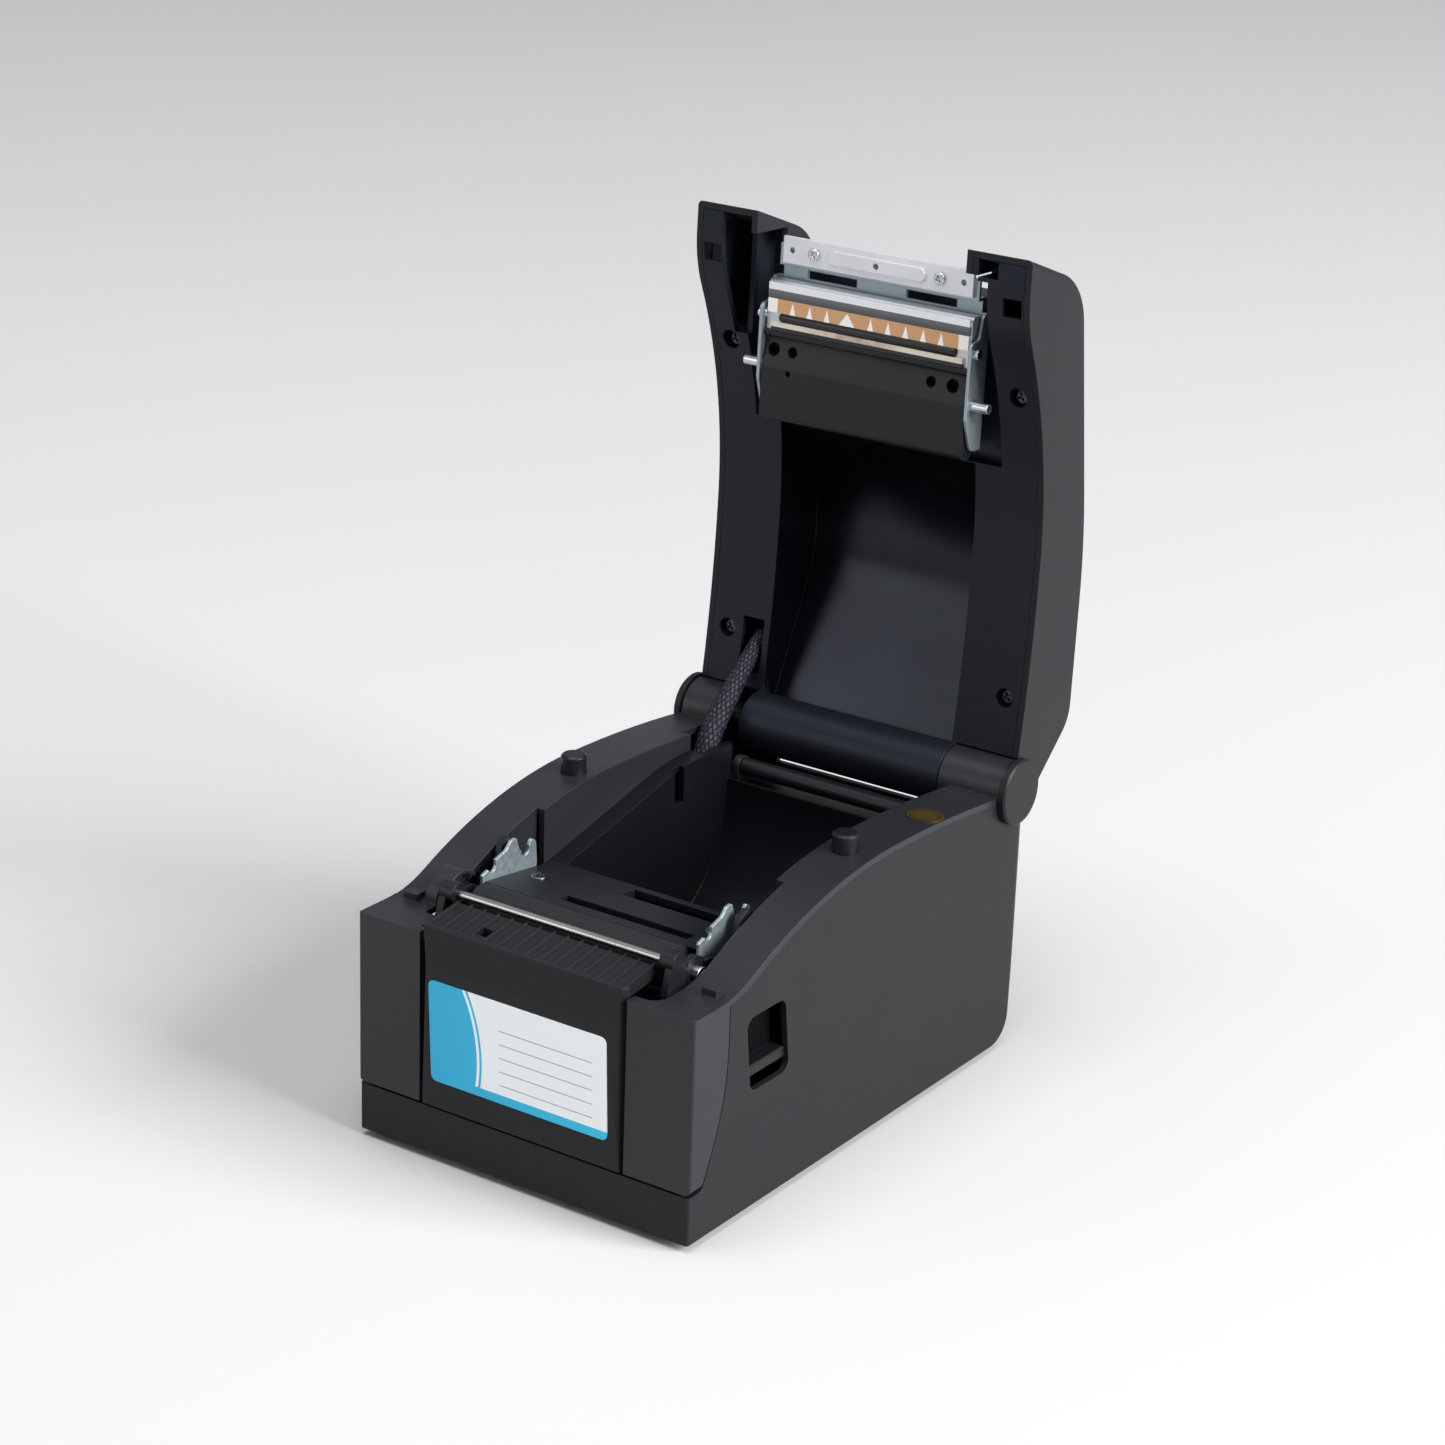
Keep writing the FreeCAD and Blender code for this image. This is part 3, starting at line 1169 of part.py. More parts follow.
def on_brow(shape, x, y):
    """Stand a piece drawn about the origin on the cover's rising top, square to it."""
    slope = (COVER_CREST_Z - COVER_BROW_Z) / (COVER_CREST_Y - COVER_BROW_Y)
    z = COVER_BROW_Z + slope * (y - COVER_BROW_Y)
    placed = turn_x(shape, math.degrees(math.atan(slope)), 0, 0)
    placed.translate(vec(x, y, z))
    return placed


def key_places():
    return [(KEY_X, KEY_Y), (KEY_X, KEY_Y + KEY_PITCH)]


def light_places():
    return [(LIGHT_X, KEY_Y + LIGHT_PITCH * i) for i in range(3)]


def cover_shell():
    block = prism_x(cover_corners(), -COVER_HALF, COVER_HALF)
    long_edges = [e for e in block.Edges
                  if e.BoundBox.XLength < 0.01 and e.BoundBox.ZMin > HINGE_Z + 1]
    block = block.makeFillet(COVER_EDGE_R, long_edges)
    side = COVER_HALF - COVER_T
    inner = prism_x(inset(cover_corners(), COVER_T), -side, side)
    shell = block.cut(mouth(0.0)).cut(inner.cut(mouth(COVER_T)))
    wide = MOUTH_HALF + COVER_T + 1
    doorway = box(-wide, wide, MOUTH_WALL_Y, MOUTH_Y + COVER_T + 1, 0, HEAD_ROOF_Z)
    cuts = swing_space() + [doorway, barrel_space(SNUG)]
    for x, y in key_places():
        cuts.append(on_brow(rod_z(KEY_R + RUN_FIT, -10, 10, 0, 0), x, y))
    for x, y in light_places():
        cuts.append(on_brow(rod_z(LIGHT_R + PRESS_FIT, -10, 10, 0, 0), x, y))
    return shell.cut(cuts)


def cover_liner():
    """Inner frame of the cover: two hollow rails, the roll pocket, the head's bay, the barrel."""
    side = COVER_HALF - COVER_T - SNUG
    fill = prism_x(inset(cover_corners(), COVER_T + SNUG), -side, side)
    fill = fill.cut(mouth(COVER_T + SNUG)).cut(swing_space())
    pocket = rod_x(BAY_R + POCKET_GAP, -BAY_HALF, BAY_HALF, ROLL_Y, ROLL_Z)
    fill = fill.cut([head_bay(), pocket, pocket_foot(0.0)])
    rail_in, rail_out = ENGINE_RIM_X + COVER_T, side - COVER_T
    rear = HINGE_Y - KNUCKLE_R - 6
    hollow = box(rail_in, rail_out, COVER_FRONT_Y + 6, rear, 0, FAR)
    hollow = hollow.fuse(box(BAY_HALF + COVER_T, rail_out, HEAD_BAY_REAR_Y + COVER_T, rear, 0, FAR))
    hollow = hollow.cut(under_rim(COVER_GAP + COVER_T, 0, FAR))
    for y in COVER_SCREW_YS:
        post_r = SCREW_HEAD_R + SCREW_ROOM + COVER_T
        hollow = hollow.cut(rod_z(post_r, 0, screw_seat(y) + COVER_T, COVER_SCREW_X, y))
    over = box(-BAY_HALF + 1, BAY_HALF - 1, HEAD_BAY_REAR_Y + COVER_T + 4, rear - 2, ROLL_Z, FAR)
    over = over.cut(rod_x(BAY_R + POCKET_GAP + COVER_T, -FAR, FAR, ROLL_Y, ROLL_Z))
    over = over.cut(pocket_foot(COVER_T))
    above = box(-ENGINE_RIM_X, ENGINE_RIM_X, MOUTH_Y + 2 * COVER_T + 1, HEAD_BAY_REAR_Y - 2,
                HEAD_ROOF_Z + COVER_T, FAR)
    liner = fill.cut(both_sides(hollow) + [over, above])
    barrel = rod_x(KNUCKLE_R, -BARREL_HALF, BARREL_HALF, HINGE_Y, HINGE_Z)
    posts = [barrel]
    for y in BRACKET_POST_YS:
        post = rod_z(BRACKET_POST_R, bracket_top(), HEAD_ROOF_Z + 1, BRACKET_POST_X, y)
        posts += both_sides(post)
    liner = liner.fuse(posts)
    cuts = [rod_x(HINGE_PIN_R + RUN_FIT, -FAR, FAR, HINGE_Y, HINGE_Z)]
    under_key = -COVER_T - KEY_FLANGE_T - KEY_TRAVEL - 1
    for x, y in key_places():
        cuts.append(on_brow(rod_z(KEY_R + KEY_FLANGE + SNUG, under_key, 0, 0, 0), x, y))
    relief_r = gear_outer_r(PLATEN_TEETH) + GEAR_ROOM + HOOD_T + 1.5
    cuts.append(box(GEAR_X - GEAR_ROOM - HOOD_T - 1, -ENGINE_RIM_X + 1, PLATEN_Y - 2.2 * relief_r,
                    PLATEN_Y + 1.8 * relief_r, 0, PLATEN_Z + relief_r + 3))
    for sx in (-1, 1):
        x = sx * PEG_X
        cuts.append(box(x - PEG_LX / 2 - 1, x + PEG_LX / 2 + 1, PEG_Y - PEG_LY / 2 - 1,
                        PEG_Y + PEG_LY / 2 + 1, 0, RIM_FRONT_Z + PEG_H + 2))
        for y in COVER_SCREW_YS:
            cuts.append(rod_z(SCREW_HEAD_R + SCREW_ROOM, 0, screw_seat(y), sx * COVER_SCREW_X, y))
    recess_x = MOUTH_HALF + 2 * COVER_T
    cuts.append(box(recess_x, ENGINE_RIM_X + 4, POCKET_FRONT_Y, CHEEK_FRONT_Y - COVER_T, 0,
                    RIM_FRONT_Z + 10))
    room = HARNESS_R + HARNESS_ROOM
    entry0, entry1 = HARNESS_ENTRY_Y - HARNESS_ENTRY_L / 2, HARNESS_ENTRY_Y + HARNESS_ENTRY_L / 2
    cuts.append(box(HARNESS_X - room, HARNESS_X + HARNESS_R, entry0, entry1, 0,
                    rim_z(HARNESS_ENTRY_Y) + 4 * COVER_T))
    return liner.cut(cuts)


def pocket_foot(grow):
    """The roll pocket's run down to the hinge barrel."""
    reach = BAY_R + POCKET_GAP + grow
    turn_y = ROLL_Y + 0.41 * reach
    turn_z = ROLL_Z + math.sqrt(reach ** 2 - (turn_y - ROLL_Y) ** 2)
    rear = HINGE_Y - 0.65 * KNUCKLE_R + grow
    corners = [(ROLL_Y, SKIRT_Z), (rear, SKIRT_Z), (rear, HINGE_Z + 0.83 * KNUCKLE_R + grow),
               (turn_y, turn_z)]
    return prism_x(corners, -BAY_HALF, BAY_HALF)


def screw_seat(y):
    """Level of the seat under a cover screw's head, clear of the sloping rim."""
    rim = max(rim_z(y - SCREW_HEAD_R), rim_z(y + SCREW_HEAD_R))
    return rim + COVER_GAP + SCREW_SINK + SCREW_HEAD_H


def cover_screws():
    heads = []
    for sx in (-1, 1):
        for y in COVER_SCREW_YS:
            seat = screw_seat(y)
            heads.append(rod_z(SCREW_HEAD_R, seat - SCREW_HEAD_H, seat, sx * COVER_SCREW_X, y))
    return heads


def cover_key(x, y):
    cap = rod_z(KEY_R, -COVER_T - 0.5, KEY_RISE, 0, 0)
    top = [e for e in cap.Edges if e.BoundBox.ZMin > KEY_RISE - 0.01]
    cap = cap.makeChamfer(0.5, top)
    under = -COVER_T - SLIDE_FIT
    flange = rod_z(KEY_R + KEY_FLANGE, under - KEY_FLANGE_T, under, 0, 0)
    return on_brow(cap.fuse(flange), x, y)


def status_lights():
    return [on_brow(rod_z(LIGHT_R, -COVER_T, 0.2, 0, 0), x, y) for x, y in light_places()]


# Print head unit
def heat_sink():
    z1 = HEAD_Z + HEAT_SINK_H
    corners = [(HEAT_SINK_FRONT_Y, HEAD_Z, 2.0), (HEAT_SINK_REAR_Y, HEAD_Z),
               (HEAT_SINK_REAR_Y, z1), (HEAT_SINK_FRONT_Y, z1, 1.0)]
    return prism_x(corners, -HEAD_HALF, HEAD_HALF)


def print_substrate():
    return box(-SUBSTRATE_HALF, SUBSTRATE_HALF, SUBSTRATE_FRONT_Y, SUBSTRATE_REAR_Y, NIP_Z, HEAD_Z)


def resin_bead():
    """Rounded black bead over the driver chips, along the substrate's rear edge."""
    bead = rod_x(BEAD_R, -BEAD_HALF, BEAD_HALF, SUBSTRATE_REAR_Y + BEAD_R, HEAD_Z)
    return bead.common(box(-FAR, FAR, -FAR, FAR, 0, HEAD_Z))


def head_board():
    y0 = SUBSTRATE_REAR_Y + 2 * BEAD_R
    return box(-BEAD_HALF, BEAD_HALF, y0, HEAT_SINK_REAR_Y, HEAD_Z - 1.2, HEAD_Z)


def head_cover():
    """Black guide behind the head, bowed where the labels run over it."""
    z0, z1 = HEAD_Z - 1.2, HEAD_Z + HEAD_COVER_H
    front, rear = HEAT_SINK_REAR_Y, HEAD_COVER_REAR_Y
    ledge, crease = front + HEAD_COVER_LEDGE, front + HEAD_COVER_CREASE
    corners = [(front, z0, 0.6), (ledge, z0), (ledge + 0.7, z0 + HEAD_COVER_HOLLOW, 1.5),
               (crease, z0 - 0.8, 6.0), (rear, z0 - 0.8, 3.0), (rear, z1, 2.0), (front, z1)]
    cover = prism_x(corners, -HEAD_HALF, HEAD_HALF)
    mid_y = (ledge + crease) / 2 - 0.5
    holes = [(4.0 - HEAD_HALF, mid_y, 2.6), (12.5 - HEAD_HALF, mid_y, 2.1),
             (12.0 - HEAD_HALF, crease + 1.5, 1.2), (HEAD_HALF - 16.0, mid_y, 2.1),
             (HEAD_HALF - 6.5, mid_y, 2.6)]
    return cover.cut([rod_z(radius, z0 - 2, z0 + 5.5, x, y) for x, y, radius in holes])


def head_pins(y, z, reach):
    """One pair of pins, from the head's ends out through the bracket's side plates."""
    return both_sides(rod_x(PIN_R, HEAD_HALF, reach, y, z))


def head_front_pins():
    return head_pins(PIN_FRONT_Y, PIN_FRONT_Z, BRACKET_X + BRACKET_T + LATCH_T + 0.6)


def head_rear_pins():
    return head_pins(PIN_REAR_Y, PIN_REAR_Z, CHEEK_OUT_X + SNUG + HOOK_T)


def bracket_top():
    return HEAD_Z + HEAT_SINK_H + HEAD_FLOAT + SNUG + BRACKET_T


def head_bracket():
    """Folded zinc bracket: top web, two side plates with slots, front wall and lip."""
    top = bracket_top()
    web_z = top - BRACKET_T
    out_x = BRACKET_X + BRACKET_T
    half = TEAR_HALF + 2
    front_y = MOUTH_Y + COVER_T + 1
    web = box(-out_x, out_x, front_y, BRACKET_REAR_Y, web_z, top)
    web = web.fuse(box(-half, half, TEAR_REAR_Y, front_y + 1, web_z, top))
    low = PIN_REAR_Z - PIN_R - 1.6
    corners = [
        (front_y, top),
        (front_y, HEAD_Z + 5, 2.0),
        (PIN_FRONT_Y - 5, HEAD_Z + 3, 2.0),
        (PIN_FRONT_Y - 4, low, 2.0),
        (PIN_REAR_Y + 5, low, 2.0),
        (BRACKET_REAR_Y, HEAD_Z + 2, 4.0),
        (BRACKET_REAR_Y, top),
    ]
    side = prism_x(corners, BRACKET_X, out_x)
    wall = box(-half, half, TEAR_REAR_Y, TEAR_REAR_Y + BRACKET_T, TEAR_Z + TEAR_T, top)
    lip = box(-half, half, TEAR_FRONT_Y + 3, TEAR_REAR_Y + BRACKET_T, TEAR_Z + TEAR_T,
              TEAR_Z + TEAR_T + BRACKET_T)
    bracket = web.fuse(both_sides(side) + [wall, lip])
    slots = []
    for y, z in ((PIN_FRONT_Y, PIN_FRONT_Z), (PIN_REAR_Y, PIN_REAR_Z)):
        room = PIN_R + RUN_FIT
        slots += [rod_x(room, -FAR, FAR, y, z), rod_x(room, -FAR, FAR, y, z + HEAD_FLOAT),
                  box(-FAR, FAR, y - room, y + room, z, z + HEAD_FLOAT)]
    gate = box(-HEAD_HALF - SNUG, HEAD_HALF + SNUG, -FAR, FAR, 0, FAR)
    slots = [s.cut(gate) for s in slots]
    slit = box(half / 4, 3 * half / 4, TEAR_REAR_Y + 2 * BRACKET_T, front_y, web_z - 1, top + 1)
    return bracket.cut(slots + both_sides(slit))


def tear_plate():
    """Aluminium tear plate: raised pad, two screw holes, three small holes."""
    plate = box(-TEAR_HALF, TEAR_HALF, TEAR_FRONT_Y, TEAR_REAR_Y, TEAR_Z, TEAR_Z + TEAR_T)
    mid_y = (TEAR_FRONT_Y + TEAR_REAR_Y) / 2
    half = TEAR_PAD_HALF
    corners = [(-half, mid_y - 2.6, 2.5), (half, mid_y - 2.6, 2.5), (half, mid_y + 2.6, 2.5),
               (-half, mid_y + 2.6, 2.5)]
    pad = prism_z(corners, TEAR_Z - 1.0, TEAR_Z + 0.1)
    holes = [rod_z(1.2, 0, FAR, x, mid_y) for x in (-TEAR_HOLE_X, 0.0, TEAR_HOLE_X)]
    return plate.fuse(pad).cut(holes)


def tear_screws():
    mid_y = (TEAR_FRONT_Y + TEAR_REAR_Y) / 2
    return [rod_z(SCREW_HEAD_R - 0.6, TEAR_Z - 1.2, TEAR_Z, x, mid_y) for x in (-TEAR_SCREW_X, TEAR_SCREW_X)]


# Harness: a sleeved lead from the base up into the open cover
def harness_sleeve():
    route = [vec(HARNESS_X, HINGE_Y + y, HINGE_Z + z) for y, z in HARNESS_ROUTE]
    edges, start = [], route[0]
    for before, corner, after in zip(route, route[1:], route[2:]):
        back, ahead = (before - corner), (after - corner)
        run = min(back.Length, ahead.Length)
        back.normalize()
        ahead.normalize()
        half = back.getAngle(ahead) / 2
        reach = 0.45 * run
        radius = reach * math.tan(half)
        way = back + ahead
        way.normalize()
        into, out = corner + back * reach, corner + ahead * reach
        middle = corner + way * (radius / math.sin(half) - radius)
        edges += [Part.LineSegment(start, into).toShape(), Part.Arc(into, middle, out).toShape()]
        start = out
    edges.append(Part.LineSegment(start, route[-1]).toShape())
    path = Part.Wire(edges)
    way = route[1] - route[0]
    ring = Part.Wire(Part.makeCircle(HARNESS_R, route[0], way))
    return path.makePipeShell([ring], True, False)


def seal_dot():
    lean = math.degrees(math.asin((DOT_Y - RIM_CROWN_Y) / RIM_REAR_R))
    dot = rod_z(DOT_R, 0.05, 0.05 + DOT_T, 0, 0)
    dot = turn_x(dot, -lean, 0, 0)
    dot.translate(vec(DOT_X, DOT_Y, rim_z(DOT_Y)))
    return dot


def base_nodes():
    nodes = {
        "lower_case": lower_case(),
        "upper_deck": upper_deck(),
        "media_bay": media_bay(),
        "front_bezel": front_bezel(),
        "front_label": front_label(),
        "rubber_feet": rubber_feet(),
        "case_screws": case_screws(),
        "engine_frame": engine_frame(),
        "guide_plate": guide_plate(),
        "guide_screws": guide_screws(),
        "peel_rod": peel_rod(),
        "platen_bushes": platen_bushes(),
        "platen_roller": platen_roller(),
        "platen_shaft": platen_shaft(),
        "platen_gear": platen_gear(),
        "idler_gear": idler_gear(),
        "idler_pin": idler_pin(),
        "motor_body": motor_body(),
        "motor_pinion": motor_pinion(),
        "media_sensor": media_sensor(),
        "guide_roller": guide_roller(),
        "main_board": main_board(),
        "usb_port": usb_port(),
        "power_jack": power_jack(),
        "switch_frame": switch_frame(),
        "power_rocker": power_rocker(),
        "seal_dot": seal_dot(),
        "harness_sleeve": harness_sleeve(),
    }
    pairs = {
        "latch_plate": latch_plate(),
        "latch_hook": latch_hook(),
        "release_button": release_button(),
        "plunger": plunger(),
        "hinge_pin": hinge_pin(),
    }
    for name, shape in pairs.items():
        nodes[name + "_right"] = shape
        nodes[name + "_left"] = mirror_x(shape)
    return nodes


def cover_nodes():
    keys = [cover_key(x, y) for x, y in key_places()]
    return {
        "cover_shell": cover_shell(),
        "cover_liner": cover_liner(),
        "cover_screws": cover_screws(),
        "feed_key": keys[0],
        "pause_key": keys[1],
        "status_lights": status_lights(),
        "head_bracket": head_bracket(),
        "tear_plate": tear_plate(),
        "tear_screws": tear_screws(),
        "heat_sink": heat_sink(),
        "print_substrate": print_substrate(),
        "resin_bead": resin_bead(),
        "head_board": head_board(),
        "head_cover": head_cover(),
        "head_front_pins": head_front_pins(),
        "head_rear_pins": head_rear_pins(),
    }


def as_shape(piece):
    return Part.makeCompound(piece) if isinstance(piece, list) else piece


def main():
    nodes = {name: as_shape(piece) for name, piece in base_nodes().items()}
    nodes.update({name: opened(as_shape(piece)) for name, piece in cover_nodes().items()})
    extent = FreeCAD.BoundBox()
    for shape in nodes.values():
        extent.add(shape.BoundBox)
    middle = vec(0, -(extent.YMin + extent.YMax) / 2, 0)
    print("origin moved by %.4f mm along Y" % middle.y)
    os.makedirs("parts", exist_ok=True)
    for name, shape in nodes.items():
        shape.translate(middle)
        shape.exportStep("parts/" + name + ".step")


main()
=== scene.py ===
# %% [markdown]
# # A desktop label printer with its cover open
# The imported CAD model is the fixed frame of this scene. Its pieces already stand at their real size and
# place, so the work here is finish: materials, screw heads, a few forms that go further than the solids,
# the braided harness, light and camera.

# %% Load the frame
import json
import math

import bmesh
import bpy
from mathutils import Matrix, Vector


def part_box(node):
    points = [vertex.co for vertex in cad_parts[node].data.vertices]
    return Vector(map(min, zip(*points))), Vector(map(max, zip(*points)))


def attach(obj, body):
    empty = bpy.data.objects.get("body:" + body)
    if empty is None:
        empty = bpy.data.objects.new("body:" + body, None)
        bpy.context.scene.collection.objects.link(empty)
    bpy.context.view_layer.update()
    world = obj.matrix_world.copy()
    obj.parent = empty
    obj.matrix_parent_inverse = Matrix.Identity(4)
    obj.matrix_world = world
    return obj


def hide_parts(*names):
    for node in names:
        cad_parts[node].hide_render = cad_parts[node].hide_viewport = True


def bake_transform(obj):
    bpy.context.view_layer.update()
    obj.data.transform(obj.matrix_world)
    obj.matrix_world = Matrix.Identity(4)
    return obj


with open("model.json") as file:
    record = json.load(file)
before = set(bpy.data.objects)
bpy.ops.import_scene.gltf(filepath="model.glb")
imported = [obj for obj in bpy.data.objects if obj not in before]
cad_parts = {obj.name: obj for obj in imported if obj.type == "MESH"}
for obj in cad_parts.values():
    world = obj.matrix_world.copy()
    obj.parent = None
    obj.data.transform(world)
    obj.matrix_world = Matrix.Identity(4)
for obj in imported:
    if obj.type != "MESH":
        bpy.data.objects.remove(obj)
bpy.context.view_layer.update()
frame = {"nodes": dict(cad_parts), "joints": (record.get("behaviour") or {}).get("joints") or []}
nodes = frame["nodes"]
cover_joint = next(joint for joint in frame["joints"] if joint["name"] == "cover_hinge")
hinge = Vector(cover_joint["pos_m"])
open_turn = math.radians(cover_joint["range_deg"][1])
MM = 0.001
print("nodes:", len(nodes), "hinge at", tuple(round(v, 4) for v in hinge))

# %% [markdown]
# ## Camera
# The view was solved from the case's straight edges in the photograph: the camera stands to the right of
# the front and a little above, far away with a long lens, and leans by two degrees. It could be set by eye,
# but a solved view lets every edge be compared with the photograph. Working from the hinge keeps it tied to
# the frame.

# %% Place the camera
AZIMUTH, ELEVATION, ROLL = (math.radians(angle) for angle in (34.197, 20.539, 1.948))
FOCAL_PX, FRAME_PX, SENSOR_MM = 3643.8, 1445, 36.0
LOOK_FROM_HINGE = Vector((0.0, -102.0, -5.5)) * MM
STAND_OFF = Vector((7.84, 42.22, 1347.87)) * MM
CLIP_START = 0.05

back = Vector((math.sin(AZIMUTH) * math.cos(ELEVATION), -math.cos(AZIMUTH) * math.cos(ELEVATION),
               math.sin(ELEVATION)))
level_right = Vector((math.cos(AZIMUTH), math.sin(AZIMUTH), 0.0))
level_up = back.cross(level_right)
right = math.cos(ROLL) * level_right + math.sin(ROLL) * level_up
up = math.cos(ROLL) * level_up - math.sin(ROLL) * level_right
turn = Matrix((right, up, back)).transposed()

lens = bpy.data.cameras.new("photo_view")
lens.sensor_width = SENSOR_MM
lens.lens = FOCAL_PX / FRAME_PX * SENSOR_MM
lens.clip_start = CLIP_START
camera = bpy.data.objects.new("photo_view", lens)
bpy.context.scene.collection.objects.link(camera)
camera.matrix_world = Matrix.Translation(hinge + LOOK_FROM_HINGE + turn @ STAND_OFF) @ turn.to_4x4()
bpy.context.scene.camera = camera
print("camera", tuple(round(v, 3) for v in camera.location))

# %% [markdown]
# ## Floor
# The printer stands on a wide pale floor. A plane is enough, as long as its far edge is out of the picture.
# It is part of the stage and not of the printer.

# %% Lay the floor
FLOOR_SIZE = 14.0


def clear_selection():
    if bpy.context.mode != "OBJECT":
        bpy.ops.object.mode_set(mode="OBJECT")
    bpy.ops.object.select_all(action="DESELECT")


def activate(piece):
    """Make a piece the only selected one, and the active one."""
    clear_selection()
    piece.select_set(True)
    bpy.context.view_layer.objects.active = piece


clear_selection()
bpy.ops.mesh.primitive_plane_add(size=FLOOR_SIZE, location=(0, 0, 0))
floor = bpy.context.object
floor.name = "floor"
print("floor", FLOOR_SIZE, "m wide")

# %% [markdown]
# ## Light
# Black plastic is seen by what it reflects, so the lamps are large soft boxes. The one at the right makes
# the case's right side lighter than its front, a low one at the left shows in the cover's pocket, and one
# overhead lights the top faces. They are far off, so the floor is lit evenly. A cool, dim world fills the
# shadows.

# %% Hang the lights
LIT_POINT = Vector((0.0, 0.0, 0.14))
SKY_COLOUR, SKY_STRENGTH = (0.88, 0.93, 1.0, 1.0), 0.42


def soft_box(name, place, size, watts):
    light = bpy.data.lights.new(name, "AREA")
    light.shape = "RECTANGLE"
    light.size, light.size_y = size, size
    light.energy = watts
    lamp = bpy.data.objects.new(name, light)
    bpy.context.scene.collection.objects.link(lamp)
    lamp.location = place
    lamp.rotation_euler = (LIT_POINT - Vector(place)).to_track_quat("-Z", "Y").to_euler()
    print(name, watts, "W")


# Each row gives the lamp's name, its place, its size in metres and its power in watts.
soft_box("right_box", (3.9, 0.45, 2.1), 2.7, 450)
soft_box("left_box", (-2.7, -3.3, 1.5), 2.1, 28)
soft_box("top_box", (0.0, -0.9, 4.3), 3.0, 150)
world = bpy.data.worlds.new("studio")
bpy.context.scene.world = world
world.use_nodes = True
sky = world.node_tree.nodes["Background"]
sky.inputs["Color"].default_value = SKY_COLOUR
sky.inputs["Strength"].default_value = SKY_STRENGTH
bpy.context.scene.view_settings.view_transform = "Standard"

# %% [markdown]
# ## Small tools for node trees
# Every finish below is a tree of shader nodes. Placing each node by hand takes many lines, so a few helpers
# place the common ones: noise on Object coordinates, arithmetic, a change of range, and a mask between two
# limits.

# %% Write the node helpers
def connect(tree, value, socket):
    """Link a socket to an input, or set the input where the value is a plain number."""
    if isinstance(value, (int, float)):
        socket.default_value = value
    else:
        tree.links.new(value, socket)


def object_noise(tree, scale, detail=2.0, stretch=None):
    """A noise texture on Object coordinates, drawn out along an axis where stretch is given."""
    vector = tree.nodes.new("ShaderNodeTexCoord").outputs["Object"]
    if stretch:
        mapping = tree.nodes.new("ShaderNodeMapping")
        mapping.inputs["Scale"].default_value = stretch
        tree.links.new(vector, mapping.inputs["Vector"])
        vector = mapping.outputs["Vector"]
    noise = tree.nodes.new("ShaderNodeTexNoise")
    noise.inputs["Detail"].default_value = detail
    tree.links.new(vector, noise.inputs["Vector"])
    connect(tree, scale, noise.inputs["Scale"])
    return noise.outputs["Fac"]


def calc(tree, operation, a, b=0.0, clamp=False):
    """One Math node; a and b are sockets or plain numbers."""
    node = tree.nodes.new("ShaderNodeMath")
    node.operation, node.use_clamp = operation, clamp
    connect(tree, a, node.inputs[0])
    connect(tree, b, node.inputs[1])
    return node.outputs[0]


def remap(tree, value, source, target):
    """Change a value from one range to another, and hold it there."""
    node = tree.nodes.new("ShaderNodeMapRange")
    tree.links.new(value, node.inputs["Value"])
    for label, number in zip(("From Min", "From Max", "To Min", "To Max"), (*source, *target)):
        node.inputs[label].default_value = number
    return node.outputs["Result"]


def inside(tree, value, low, high):
    """1 where a value lies between low and high."""
    above = calc(tree, "GREATER_THAN", value, low)
    return calc(tree, "MULTIPLY", above, calc(tree, "LESS_THAN", value, high))


def either(tree, first, *others):
    """1 where any of the masks is 1."""
    for other in others:
        first = calc(tree, "MAXIMUM", first, other)
    return first


def distance(tree, a, b):
    """How far the point (a, b) is from the origin."""
    return calc(tree, "SQRT", calc(tree, "ADD", calc(tree, "MULTIPLY", a, a), calc(tree, "MULTIPLY", b, b)))


UNIT, FALLING = (0.0, 1.0), (1.0, 0.0)
NOISE_SPAN = (0.3, 0.7)
print("helpers ready; most noise lies between", NOISE_SPAN)

# %% [markdown]
# ## Shared surface effects
# Three small node groups serve most of the finishes. Grain is the fine spark-eroded texture of a moulding,
# with a slow change of tone over the part. Streaks are the long fine scratches of rolled or brushed metal.
# Specks are a little dust. As groups they are built once, and each material gives them its own values.

# %% Build the node groups
SLOW_TONE, BROAD_TONE = 18.0, 60.0
ALONG_X = (0.02, 1.0, 1.0)
SPECK_SCALE, SPECK_EDGE = 2600.0, (0.66, 0.74)
PATCH_SCALE, PATCH_EDGE = 25.0, (0.45, 0.7)


def new_group(name, label, value, outputs):
    """A node group with one number as its input."""
    group = bpy.data.node_groups.new(name, "ShaderNodeTree")
    group.interface.new_socket(label, in_out="INPUT", socket_type="NodeSocketFloat").default_value = value
    for output in outputs:
        group.interface.new_socket(output, in_out="OUTPUT", socket_type="NodeSocketFloat")
    return group, group.nodes.new("NodeGroupInput").outputs[label], group.nodes.new("NodeGroupOutput").inputs


grain_group, fineness, result = new_group("moulded_grain", "Fineness", 1500.0, ["Height", "Tone"])
grain_group.links.new(object_noise(grain_group, fineness, detail=3.0), result["Height"])
grain_group.links.new(object_noise(grain_group, SLOW_TONE), result["Tone"])

streak_group, fineness, result = new_group("metal_streaks", "Fineness", 900.0, ["Height", "Tone"])
streak_group.links.new(object_noise(streak_group, fineness, detail=4.0, stretch=ALONG_X), result["Height"])
streak_group.links.new(object_noise(streak_group, BROAD_TONE), result["Tone"])

